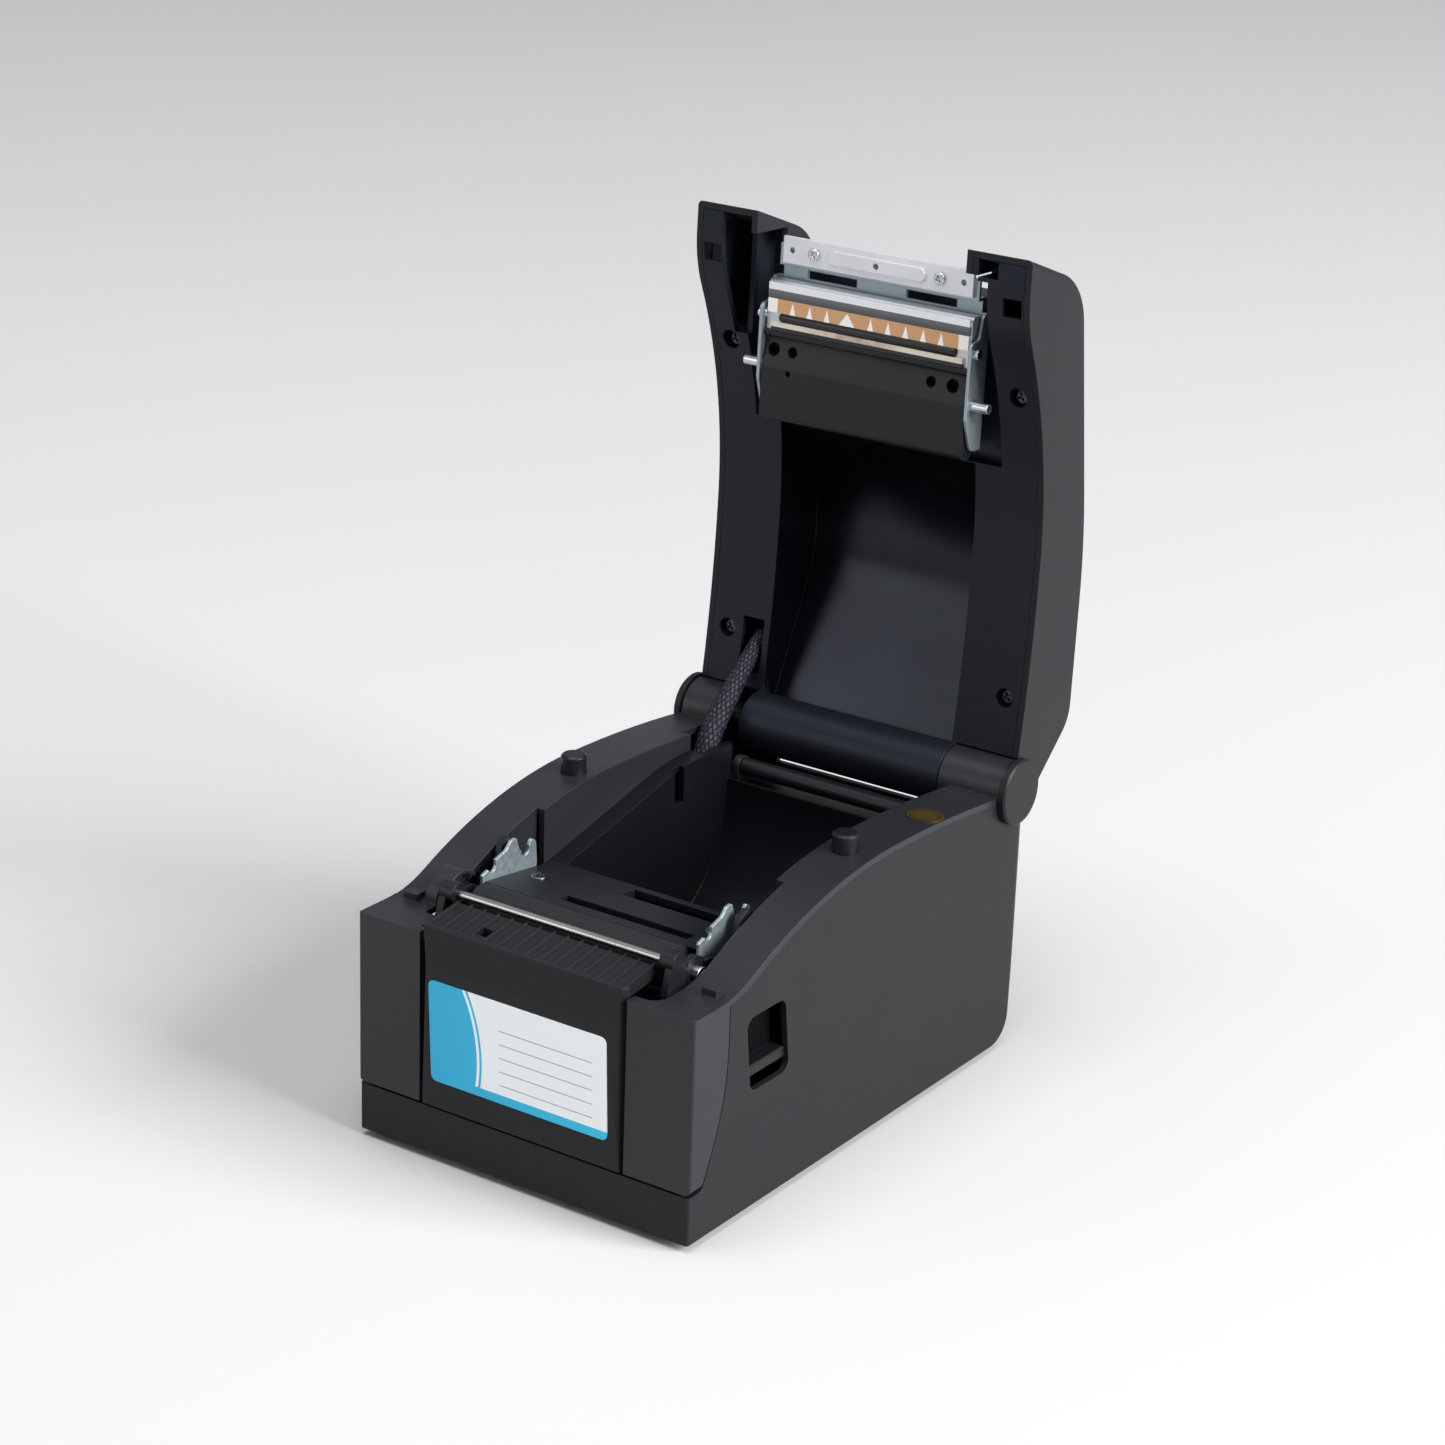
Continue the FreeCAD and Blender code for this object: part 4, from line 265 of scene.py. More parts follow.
speck_group, amount, result = new_group("dust_specks", "Amount", 0.35, ["Mask"])
dots = remap(speck_group, object_noise(speck_group, SPECK_SCALE, detail=1.0), SPECK_EDGE, UNIT)
patches = remap(speck_group, object_noise(speck_group, PATCH_SCALE), PATCH_EDGE, UNIT)
dust = calc(speck_group, "MULTIPLY", dots, patches)
speck_group.links.new(calc(speck_group, "MULTIPLY", dust, amount, clamp=True), result["Mask"])
print("groups:", [group.name for group in bpy.data.node_groups])

# %% [markdown]
# ## How a finish is put together
# A finish needs a base colour, a gloss and a little relief. Relief comes from a Bump node. The Bevel node
# before it turns the normals at sharp edges, so that each edge catches light as a moulded or deburred edge
# does, without more faces.

# %% Write the material helpers
EDGE_ROUND, EDGE_SAMPLES = 0.5 * MM, 6
GRAIN_DEPTH, STREAK_DEPTH, FILM_DEPTH = 0.2 * MM, 0.05 * MM, 0.1 * MM


def new_material(name):
    material = bpy.data.materials.new(name)
    material.use_nodes = True
    return material, material.node_tree, material.node_tree.nodes["Principled BSDF"]


def use_group(tree, group, **values):
    node = tree.nodes.new("ShaderNodeGroup")
    node.node_tree = group
    for label, value in values.items():
        node.inputs[label].default_value = value
    return node.outputs


def mix_colour(tree, share, first, second):
    """Mix two colours; each is three numbers or a socket."""
    node = tree.nodes.new("ShaderNodeMix")
    node.data_type = "RGBA"
    tree.links.new(share, node.inputs[0])
    for socket, colour in ((node.inputs[6], first), (node.inputs[7], second)):
        if isinstance(colour, tuple):
            socket.default_value = colour + (1.0,)
        else:
            tree.links.new(colour, socket)
    return node.outputs[2]


def add_bump(tree, shader, height, strength, depth):
    """Relief on the surface, on top of softly rounded edges."""
    bump = tree.nodes.new("ShaderNodeBump")
    bump.inputs["Strength"].default_value = strength
    bump.inputs["Distance"].default_value = depth
    tree.links.new(height, bump.inputs["Height"])
    edge = tree.nodes.new("ShaderNodeBevel")
    edge.samples = EDGE_SAMPLES
    edge.inputs["Radius"].default_value = EDGE_ROUND
    tree.links.new(edge.outputs["Normal"], bump.inputs["Normal"])
    tree.links.new(bump.outputs["Normal"], shader.inputs["Normal"])


print("edges are rounded by", EDGE_ROUND / MM, "mm")

# %% [markdown]
# ## Black plastics
# The mouldings are all one black plastic, but their tool finish differs: the case is matt with a fine
# grain, the deck and the inside of the cover are smoother, and the roll pockets shine. One function makes
# them all. The colours are far darker than they look in the picture, because most of the light on black
# plastic is reflected from its surface. The inside of the cover reflects a little blue.

# %% Make the plastics
LIGHTER, DUST_COLOUR = 1.25, (0.25, 0.25, 0.26)
SMOOTHER, ROUGHER = 0.04, 0.05
BLUISH = (0.78, 0.84, 1.0)
PLAIN = (1.0, 1.0, 1.0)


def plastic(name, colour, rough, fineness, strength, dusty=0.12, shine=0.2, tint=PLAIN):
    """Moulded plastic: grain in the normal, a slow change of tone and gloss, a little dust."""
    material, tree, shader = new_material(name)
    shader.inputs["Specular IOR Level"].default_value = shine
    shader.inputs["Specular Tint"].default_value = tint + (1.0,)
    grain = use_group(tree, grain_group, Fineness=fineness)
    toned = mix_colour(tree, grain["Tone"], colour, tuple(c * LIGHTER for c in colour))
    specks = use_group(tree, speck_group, Amount=dusty)
    tree.links.new(mix_colour(tree, specks["Mask"], toned, DUST_COLOUR), shader.inputs["Base Color"])
    gloss = remap(tree, grain["Tone"], NOISE_SPAN, (rough - SMOOTHER, rough + ROUGHER))
    tree.links.new(gloss, shader.inputs["Roughness"])
    add_bump(tree, shader, grain["Height"], strength, GRAIN_DEPTH)
    return material


# Each row gives the material's name, colour, roughness, and the fineness and strength of its grain.
finishes = {
    "case": plastic("charcoal_case", (0.0080, 0.0080, 0.0098), 0.46, 1500.0, 0.22),
    "deck": plastic("satin_deck", (0.0100, 0.0102, 0.0126), 0.40, 1800.0, 0.14, shine=0.35),
    "liner": plastic("satin_liner", (0.0062, 0.0068, 0.0102), 0.40, 1800.0, 0.10, shine=0.24, tint=BLUISH),
    "bay": plastic("smooth_bay", (0.0038, 0.0041, 0.0056), 0.30, 2000.0, 0.06),
    # The roll pocket is glossier than the liner. Its much darker colour is painted shade for the deep
    # pocket.
    "bowl": plastic("polished_bowl_painted_shade", (0.0012, 0.0014, 0.0026), 0.27, 2000.0, 0.04,
                    dusty=0.05, shine=0.33, tint=BLUISH),
    "bezel": plastic("charcoal_bezel", (0.0080, 0.0080, 0.0096), 0.44, 1500.0, 0.20),
    "frame": plastic("black_frame", (0.0042, 0.0045, 0.0064), 0.40, 1800.0, 0.12, shine=0.3),
    "key": plastic("black_key", (0.0045, 0.0045, 0.0060), 0.40, 1800.0, 0.10, shine=0.25),
    # Painted shade: a near-black finish for the deep face behind each release ledge, where the real pull has
    # only shade.
    "pocket": plastic("dark_pocket", (0.0010, 0.0010, 0.0014), 0.70, 1500.0, 0.10, dusty=0.0, shine=0.06),
    "rubber": plastic("foot_rubber", (0.0100, 0.0100, 0.0100), 0.75, 1200.0, 0.35),
    "platen": plastic("platen_rubber", (0.0100, 0.0100, 0.0115), 0.58, 1500.0, 0.30),
    "gear": plastic("gear_black", (0.0080, 0.0080, 0.0080), 0.45, 1500.0, 0.15),
    "sensor": plastic("sensor_black", (0.0060, 0.0058, 0.0060), 0.40, 1500.0, 0.15),
    "resin": plastic("cast_resin", (0.0060, 0.0060, 0.0070), 0.30, 600.0, 0.08, dusty=0.0, shine=0.4),
}
print("plastics:", len(finishes))

# %% [markdown]
# ## Metals
# The brackets and latch plates are zinc-plated steel, the peel rod in front of the platen is bright, the
# head's body is brushed aluminium, and the socket has a nickel shell. They differ in colour, gloss and the
# fineness of their streaks. Dull plating is made less metallic, so that it keeps some grey of its own.

# %% Make the metals
DARKER = 0.82
BRIGHT_STREAK, DULL_STREAK = 0.06, 0.08


def metal(name, colour, rough, fineness, strength, metallic=1.0):
    """Plated or brushed metal: fine streaks in the normal and in the gloss."""
    material, tree, shader = new_material(name)
    streaks = use_group(tree, streak_group, Fineness=fineness)
    toned = mix_colour(tree, streaks["Tone"], tuple(c * DARKER for c in colour), colour)
    tree.links.new(toned, shader.inputs["Base Color"])
    gloss = remap(tree, streaks["Height"], NOISE_SPAN, (rough - BRIGHT_STREAK, rough + DULL_STREAK))
    tree.links.new(gloss, shader.inputs["Roughness"])
    shader.inputs["Metallic"].default_value = metallic
    add_bump(tree, shader, streaks["Height"], strength, STREAK_DEPTH)
    return material


# Each row gives the material's name, colour, roughness, and the fineness and strength of its streaks.
metals = {
    "rod": metal("bright_rod", (0.50, 0.48, 0.46), 0.24, 1800.0, 0.03),
    "steel": metal("ground_steel", (0.62, 0.63, 0.66), 0.26, 1500.0, 0.06),
    "zinc": metal("zinc_plate", (0.34, 0.40, 0.43), 0.42, 500.0, 0.05, metallic=0.8),
    "aluminium": metal("brushed_aluminium", (0.60, 0.61, 0.64), 0.36, 1500.0, 0.10, metallic=0.85),
    "tear": metal("matt_tear_plate", (0.72, 0.72, 0.75), 0.42, 1500.0, 0.08, metallic=0.6),
    "nickel": metal("nickel_shell", (0.62, 0.61, 0.60), 0.25, 1200.0, 0.05),
    "brass": metal("cut_brass", (0.70, 0.53, 0.24), 0.28, 1200.0, 0.06),
    "screw": metal("dark_screw", (0.10, 0.10, 0.11), 0.34, 1500.0, 0.05),
}
finishes.update(metals)
print("metals:", len(metals))

# %% [markdown]
# ## Dressing the CAD pieces
# Most pieces of the CAD model need no new shape, only their finish. A CAD node keeps its mesh as it came,
# and its one material slot is filled.

# %% Give each CAD piece its finish
def dress(material, *names):
    """Give CAD nodes one material."""
    for name in names:
        slots = nodes[name].data.materials
        slots.clear()
        slots.append(material)


worn_by = {
    "case": ["lower_case", "hinge_pin_left", "hinge_pin_right", "cover_shell"],
    "deck": ["upper_deck"],
    "liner": ["cover_liner"],
    "bay": ["media_bay"],
    "bezel": ["front_bezel"],
    "frame": ["engine_frame", "guide_plate", "platen_bushes", "head_cover", "power_jack", "switch_frame",
              "latch_hook_left", "latch_hook_right", "guide_roller"],
    "key": ["plunger_left", "plunger_right", "release_button_left", "release_button_right", "power_rocker",
            "feed_key", "pause_key"],
    "rubber": ["rubber_feet"],
    "platen": ["platen_roller"],
    "gear": ["platen_gear", "idler_gear"],
    "sensor": ["media_sensor"],
    "rod": ["peel_rod"],
    "steel": ["platen_shaft", "idler_pin", "head_front_pins", "head_rear_pins"],
    "zinc": ["latch_plate_left", "latch_plate_right", "head_bracket", "motor_body"],
    "aluminium": ["heat_sink"],
    "tear": ["tear_plate"],
    "nickel": ["usb_port"],
    "brass": ["motor_pinion"],
}
for finish, names in worn_by.items():
    dress(finishes[finish], *names)
print("dressed:", sum(len(names) for names in worn_by.values()), "pieces")

# %% [markdown]
# ## The front label
# The label is white film with a cyan field at its left, bounded by a large arc, a cyan foot and a few ruled
# lines. An image could be laid on it, but a pattern worked out from Object coordinates stays sharp and
# belongs to nobody. Distances are taken in millimetres from the middle of the label's own box.

# %% Print the label
ARC_LEFT, ARC_BELOW, FIELD_R = 78.0, 6.0, 60.0
RIM_IN, RIM_OUT = 61.2, 62.2
FOOT_TOP = -16.6
LABEL_X = (-39.0, 39.0)
LINE_PITCH, LINE_START, LINE_SHARE = 5.4, -40.0, 0.07
LINES_ACROSS, LINES_UP = (-8.0, 33.0), (-13.0, 14.0)
CYAN_LEFT, CYAN_RIGHT = (0.004, 0.36, 0.60), (0.010, 0.46, 0.70)
FILM_WHITE, LINE_GREY = (0.80, 0.82, 0.83), (0.26, 0.30, 0.34)
FILM_GRAIN, FILM_RELIEF, FILM_GLOSS = 900.0, 0.05, (0.26, 0.34)


def local_axes(tree, name):
    """Distances in millimetres from the middle of a node's box, along x, y and z."""
    low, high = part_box(name)
    centre = (low + high) / 2
    split = tree.nodes.new("ShaderNodeSeparateXYZ")
    tree.links.new(tree.nodes.new("ShaderNodeTexCoord").outputs["Object"], split.inputs[0])
    return [calc(tree, "DIVIDE", calc(tree, "SUBTRACT", split.outputs[i], centre[i]), MM) for i in range(3)]


def label_film():
    material, tree, shader = new_material("label_film")
    x, _, z = local_axes(tree, "front_label")
    reach = distance(tree, calc(tree, "ADD", x, ARC_LEFT), calc(tree, "ADD", z, ARC_BELOW))
    field = calc(tree, "LESS_THAN", reach, FIELD_R)
    foot = calc(tree, "LESS_THAN", z, FOOT_TOP)
    cyan_mask = either(tree, field, inside(tree, reach, RIM_IN, RIM_OUT), foot)
    row = calc(tree, "FRACT", calc(tree, "DIVIDE", calc(tree, "SUBTRACT", z, LINE_START), LINE_PITCH))
    ruled = calc(tree, "MULTIPLY", calc(tree, "LESS_THAN", row, LINE_SHARE), inside(tree, x, *LINES_ACROSS))
    ruled = calc(tree, "MULTIPLY", ruled, inside(tree, z, *LINES_UP))
    cyan = mix_colour(tree, remap(tree, x, LABEL_X, UNIT), CYAN_LEFT, CYAN_RIGHT)
    paper = mix_colour(tree, ruled, FILM_WHITE, LINE_GREY)
    tree.links.new(mix_colour(tree, cyan_mask, paper, cyan), shader.inputs["Base Color"])
    grain = use_group(tree, grain_group, Fineness=FILM_GRAIN)
    tree.links.new(remap(tree, grain["Tone"], NOISE_SPAN, FILM_GLOSS), shader.inputs["Roughness"])
    add_bump(tree, shader, grain["Height"], FILM_RELIEF, FILM_DEPTH)
    return material


dress(label_film(), "front_label")
print("label printed")

# %% [markdown]
# ## The print head's ceramic
# The ceramic strip of a thermal head has copper tracks that fan out to the terminals, with white teeth of
# bare ceramic between them. Above them lies a glazed band along the heaters. Its dark-to-grey colour is a
# painted reflection in the glaze. Above the band is a pale metallic edge whose brightness is partly a
# painted highlight of a rounded metal edge. It is too fine to model, so it is a pattern under a clear glaze.
# The teeth are triangles: their half width grows from nothing at the tip to the foot.

# %% Glaze the ceramic
TEETH_RISE = (-5.8, -1.0)
TOOTH_PITCH, TOOTH_HALF = 7.75, 0.17
TOOTH_ROWS = ((-33.3, -37.0, -14.0), (1.7, -2.0, 37.0))
WIDE_LEFT, WIDE_HALF = 8.8, 3.6
BARE_END_X = 40.2
TRACKS_PER_MM, TRACK_GAP = 2.4, 0.35
BAND_FOOT, BAND_TOP = -0.4, 3.0
COPPER_DARK, COPPER = (0.42, 0.20, 0.08), (0.58, 0.32, 0.15)
# The pale edge colour below is partly a painted highlight on a metallic edge. The bare ceramic colour is the
# teeth's own colour.
BARE_CERAMIC, HIGHLIGHT_EDGE = (0.80, 0.78, 0.74), (0.80, 0.81, 0.84)
# The dark and grey band colours below are a painted reflection in the glaze.
REFLECTION_DARK, REFLECTION_GREY = (0.035, 0.035, 0.038), (0.11, 0.11, 0.115)
EDGE_METALLIC, GLAZE_ROUGH, GLAZE_COAT = 0.8, 0.26, 0.3


def white_teeth(tree, x, z):
    """Mask of the teeth: two rows, one wide tooth between them, and the bare ends of the strip."""
    rise = remap(tree, z, TEETH_RISE, FALLING)
    masks = []
    for first, low, high in TOOTH_ROWS:
        count = calc(tree, "ADD", calc(tree, "DIVIDE", calc(tree, "SUBTRACT", x, first), TOOTH_PITCH), 0.5)
        off = calc(tree, "ABSOLUTE", calc(tree, "SUBTRACT", calc(tree, "FRACT", count), 0.5))
        tooth = calc(tree, "LESS_THAN", off, calc(tree, "MULTIPLY", rise, TOOTH_HALF))
        masks.append(calc(tree, "MULTIPLY", tooth, inside(tree, x, low, high)))
    off = calc(tree, "ABSOLUTE", calc(tree, "ADD", x, WIDE_LEFT))
    masks.append(calc(tree, "LESS_THAN", off, calc(tree, "MULTIPLY", rise, WIDE_HALF)))
    masks.append(calc(tree, "GREATER_THAN", calc(tree, "ABSOLUTE", x), BARE_END_X))
    return either(tree, *masks)


def head_ceramic():
    material, tree, shader = new_material("head_ceramic")
    x, _, z = local_axes(tree, "print_substrate")
    repeat = calc(tree, "FRACT", calc(tree, "MULTIPLY", x, TRACKS_PER_MM))
    tracks = calc(tree, "GREATER_THAN", repeat, TRACK_GAP)
    copper = mix_colour(tree, tracks, COPPER_DARK, COPPER)
    comb = mix_colour(tree, white_teeth(tree, x, z), copper, BARE_CERAMIC)
    # Painted highlight above the band. Painted reflection in the band, which grows greyer towards its top.
    highlight_edge_mask = calc(tree, "GREATER_THAN", z, BAND_TOP)
    reflection_band = mix_colour(tree, remap(tree, z, (BAND_FOOT, BAND_TOP), UNIT), REFLECTION_DARK, REFLECTION_GREY)
    glaze_light = mix_colour(tree, highlight_edge_mask, reflection_band, HIGHLIGHT_EDGE)
    upper = calc(tree, "GREATER_THAN", z, BAND_FOOT)
    tree.links.new(mix_colour(tree, upper, comb, glaze_light), shader.inputs["Base Color"])
    tree.links.new(calc(tree, "MULTIPLY", highlight_edge_mask, EDGE_METALLIC), shader.inputs["Metallic"])
    shader.inputs["Roughness"].default_value = GLAZE_ROUGH
    shader.inputs["Coat Weight"].default_value = GLAZE_COAT
    return material


dress(head_ceramic(), "print_substrate")
print("ceramic glazed, teeth every", TOOTH_PITCH, "mm")

# %% [markdown]
# ## The head's terminal board
# Below the ceramic lies a narrow board: a cream edge that has browned in its middle, the rest under black
# lacquer. The browning is a soft mask along the board, broken up by noise.

# %% Lacquer the terminal board
LACQUER_EDGE = -0.2
BROWN_AT, BROWN_FADE = -6.0, (8.0, 22.0)
STAIN_SCALE, STAIN_EDGE, STAIN_SHARE = 160.0, (0.35, 0.65), (0.2, 1.0)
CREAM, BROWNED, LACQUER = (0.62, 0.56, 0.48), (0.34, 0.22, 0.12), (0.006, 0.006, 0.007)
LACQUER_ROUGH = 0.4


def terminal_board():
    material, tree, shader = new_material("terminal_board")
    x, _, z = local_axes(tree, "head_board")
    off = calc(tree, "ABSOLUTE", calc(tree, "SUBTRACT", x, BROWN_AT))
    stain = remap(tree, object_noise(tree, STAIN_SCALE), STAIN_EDGE, STAIN_SHARE)
    brown = calc(tree, "MULTIPLY", remap(tree, off, BROWN_FADE, FALLING), stain)
    cream = mix_colour(tree, brown, CREAM, BROWNED)
    lacquered = calc(tree, "LESS_THAN", z, LACQUER_EDGE)
    tree.links.new(mix_colour(tree, lacquered, cream, LACQUER), shader.inputs["Base Color"])
    shader.inputs["Roughness"].default_value = LACQUER_ROUGH
    return material


dress(terminal_board(), "head_board")
print("terminal board lacquered")

# %% [markdown]
# ## Seal, main board and lights
# Three small finishes. The seal on the rim is a foil disc with two fine rings. The main board has green
# solder mask over its tracks, drawn as noise that is stretched along one axis. The status lights are milky
# light pipes.

# %% Finish the small pieces
SEAL_RINGS = ((5.6, 6.1), (4.7, 4.95))
FOIL, RING = (0.105, 0.066, 0.018), (0.030, 0.020, 0.008)
FOIL_METALLIC, FOIL_GRAIN, FOIL_GLOSS = 0.7, 700.0, (0.32, 0.46)
BOARD_MASK, BOARD_TRACK = (0.01, 0.08, 0.03), (0.02, 0.14, 0.05)
BOARD_SCALE, BOARD_STRETCH, BOARD_EDGE, BOARD_ROUGH = 220.0, (1.0, 0.15, 1.0), (0.49, 0.52), 0.3
PIPE_DARK, PIPE_PALE = (0.30, 0.42, 0.34), (0.42, 0.52, 0.45)
PIPE_GRAIN, PIPE_ROUGH = 500.0, 0.2


def gold_seal():
    material, tree, shader = new_material("gold_seal")
    x, y, _ = local_axes(tree, "seal_dot")
    reach = distance(tree, x, y)
    rings = either(tree, *(inside(tree, reach, low, high) for low, high in SEAL_RINGS))
    tree.links.new(mix_colour(tree, rings, FOIL, RING), shader.inputs["Base Color"])
    shader.inputs["Metallic"].default_value = FOIL_METALLIC
    grain = use_group(tree, grain_group, Fineness=FOIL_GRAIN)
    tree.links.new(remap(tree, grain["Height"], NOISE_SPAN, FOIL_GLOSS), shader.inputs["Roughness"])
    return material


def circuit_board():
    material, tree, shader = new_material("main_board_mask")
    streaks = object_noise(tree, BOARD_SCALE, detail=0.0, stretch=BOARD_STRETCH)
    lines = remap(tree, streaks, BOARD_EDGE, UNIT)
    tree.links.new(mix_colour(tree, lines, BOARD_MASK, BOARD_TRACK), shader.inputs["Base Color"])
    shader.inputs["Roughness"].default_value = BOARD_ROUGH
    return material


def light_pipe():
    material, tree, shader = new_material("light_pipe")
    grain = use_group(tree, grain_group, Fineness=PIPE_GRAIN)
    tree.links.new(mix_colour(tree, grain["Tone"], PIPE_DARK, PIPE_PALE), shader.inputs["Base Color"])
    shader.inputs["Roughness"].default_value = PIPE_ROUGH
    return material


dress(gold_seal(), "seal_dot")
dress(circuit_board(), "main_board")
dress(light_pipe(), "status_lights")
print("materials:", len(bpy.data.materials))

# %% [markdown]
# ## One cross-head screw
# The screws are small pan heads with a cross recess. The CAD node only has a plain disc for each of them.
# One head is modelled from a cylinder: its upper rim is bevelled round, and two bars are cut from it with
# Boolean modifiers. A bump would do from afar, but a cut recess also holds its shadow close up.

# %% Model one head
HEAD_SIDES, RIM_ROUND, RIM_STEPS = 48, 0.38, 4
BAR_LENGTH, BAR_WIDTH, BAR_DEPTH = 1.25, 0.30, 1.1
CROSS_TURN = 0.5


def apply_cut(piece, cutter):
    """Cut one object out of another."""
    cut = piece.modifiers.new("cut", "BOOLEAN")
    cut.operation, cut.object, cut.solver = "DIFFERENCE", cutter, "EXACT"
    activate(piece)
    bpy.ops.object.modifier_apply(modifier=cut.name)
    bpy.data.objects.remove(cutter)


def cross_head(radius, height):
    """One screw head, its top facing +Z and its seat at Z = 0."""
    clear_selection()
    bpy.ops.mesh.primitive_cylinder_add(vertices=HEAD_SIDES, radius=radius, depth=height,
                                        location=(0, 0, height / 2))
    head = bpy.context.object
    bpy.ops.object.transform_apply(location=True, rotation=False, scale=False)
    bpy.ops.object.mode_set(mode="EDIT")
    bpy.ops.mesh.select_all(action="DESELECT")
    shape = bmesh.from_edit_mesh(head.data)
    for edge in shape.edges:
        edge.select_set(all(v.co.z > height / 2 for v in edge.verts))
    bmesh.update_edit_mesh(head.data)
    bpy.ops.mesh.bevel(offset=RIM_ROUND * height, segments=RIM_STEPS, affect="EDGES")
    bpy.ops.object.mode_set(mode="OBJECT")
    for bar_turn in (CROSS_TURN, CROSS_TURN + math.pi / 2):
        clear_selection()
        bpy.ops.mesh.primitive_cube_add(size=1.0, location=(0, 0, height), rotation=(0, 0, bar_turn))
        bar = bpy.context.object
        bar.scale = (BAR_LENGTH * radius, BAR_WIDTH * radius, BAR_DEPTH * height)
        bpy.ops.object.transform_apply(location=True, rotation=True, scale=True)
        apply_cut(head, bar)
    return head


print("a head has", HEAD_SIDES, "sides")

# %% [markdown]
# ## The screws in their places
# The head is copied onto every disc of a CAD node. A node's mesh is loose triangles, so its discs are found
# by merging a copy of it and walking from point to point along the edges. The copies are turned to face the
# way the disc does, and are joined into one piece that stands for the node.

# %% Lay the screws
SCREW_SMOOTH = math.radians(35)
TOUCHING = 1e-6


def separate_solids(name):
    """Lowest and highest corner of each separate solid of a CAD node."""
    shape = bmesh.new()
    shape.from_mesh(nodes[name].data)
    bmesh.ops.remove_doubles(shape, verts=shape.verts, dist=TOUCHING)
    left, boxes = set(shape.verts), []
    while left:
        island, waiting = set(), [left.pop()]
        while waiting:
            vert = waiting.pop()
            island.add(vert)
            reached = {edge.other_vert(vert) for edge in vert.link_edges} & left
            left -= reached
            waiting.extend(reached)
        boxes.append([Vector(limit(v.co[i] for v in island) for i in range(3)) for limit in (min, max)])
    shape.free()
    return sorted(boxes, key=lambda box: tuple(box[0]))


def stand_for(piece, node, body):
    """A finished piece takes the place of a CAD node and rides a body."""
    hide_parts(node)
    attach(piece, body)


def lay_screws(piece_name, node, facing, body, finish):
    """Copies of one head on the discs of a CAD node, joined into one piece."""
    turned = Vector((0, 0, 1)).rotation_difference(Vector(facing)).to_matrix().to_4x4()
    boxes = separate_solids(node)
    along = [abs(v) for v in facing].index(max(abs(v) for v in facing))
    size = boxes[0][1] - boxes[0][0]
    master = cross_head(size[0] / 2, size[along])
    copies = []
    for low, high in boxes:
        seat = (low + high) / 2 - Vector(facing) * size[along] / 2
        head = bpy.data.objects.new(piece_name, master.data.copy())
        bpy.context.scene.collection.objects.link(head)
        head.data.transform(Matrix.Translation(seat) @ turned)
        copies.append(head)
    bpy.data.objects.remove(master)
    activate(copies[0])
    for head in copies:
        head.select_set(True)
    bpy.ops.object.join()
    joined = bpy.context.object
    joined.name = piece_name
    bpy.ops.object.shade_smooth_by_angle(angle=SCREW_SMOOTH)
    joined.data.materials.clear()
    joined.data.materials.append(finishes[finish])
    stand_for(joined, node, body)
    print(piece_name, len(boxes))


cover_face = (0.0, -math.sin(open_turn), -math.cos(open_turn))
lay_screws("cover_screw_heads", "cover_screws", cover_face, "cover", "screw")
lay_screws("tear_screw_heads", "tear_screws", cover_face, "cover", "steel")
lay_screws("guide_screw_heads", "guide_screws", (0, 0, 1), "base", "screw")
lay_screws("case_screw_heads", "case_screws", (0, 0, -1), "base", "screw")

# %% [markdown]
# ## Release pulls
# The release buttons are finger pulls: a narrow sloping ledge across a deep dark pocket. The CAD solid is a
# plain block. Its mesh is never changed, so a merged copy is cut above and below the ledge with Boolean
# modifiers. The deep face behind the ledge is painted near black as painted shade, because hardly any light
# reaches into the pocket.

# %% Cut the release pulls
CUT_SMOOTH = math.radians(30)
LEDGE_FOOT, LEDGE_TOP, LEDGE_SLOPE = 4.9 * MM, 9.2 * MM, 0.4 * MM
BUTTON_DEPTH, BEYOND = 5.6 * MM, 40.0 * MM
SAME_PLANE = 0.05 * MM


def block(low, high):
    """A cube stretched between two corners, as a cutter."""
    clear_selection()
    bpy.ops.mesh.primitive_cube_add(size=1.0, location=(Vector(low) + Vector(high)) / 2)
    cutter = bpy.context.object
    cutter.scale = Vector(high) - Vector(low)
    bpy.ops.object.transform_apply(location=True, rotation=True, scale=True)
    return cutter


def cut_copy(node, piece_name, body, cutters):
    """A merged copy of a CAD node with blocks cut out of it, which stands for the node."""
    piece = bpy.data.objects.new(piece_name, nodes[node].data.copy())
    bpy.context.scene.collection.objects.link(piece)
    activate(piece)
    bpy.ops.object.mode_set(mode="EDIT")
    bpy.ops.mesh.select_all(action="SELECT")
    bpy.ops.mesh.remove_doubles(threshold=TOUCHING)
    bpy.ops.mesh.customdata_custom_splitnormals_clear()
    bpy.ops.object.mode_set(mode="OBJECT")
    for cutter in cutters:
        apply_cut(piece, cutter)
    bpy.ops.object.shade_smooth_by_angle(angle=CUT_SMOOTH)
    stand_for(piece, node, body)
    print(piece_name, len(piece.data.polygons), "faces")
    return piece


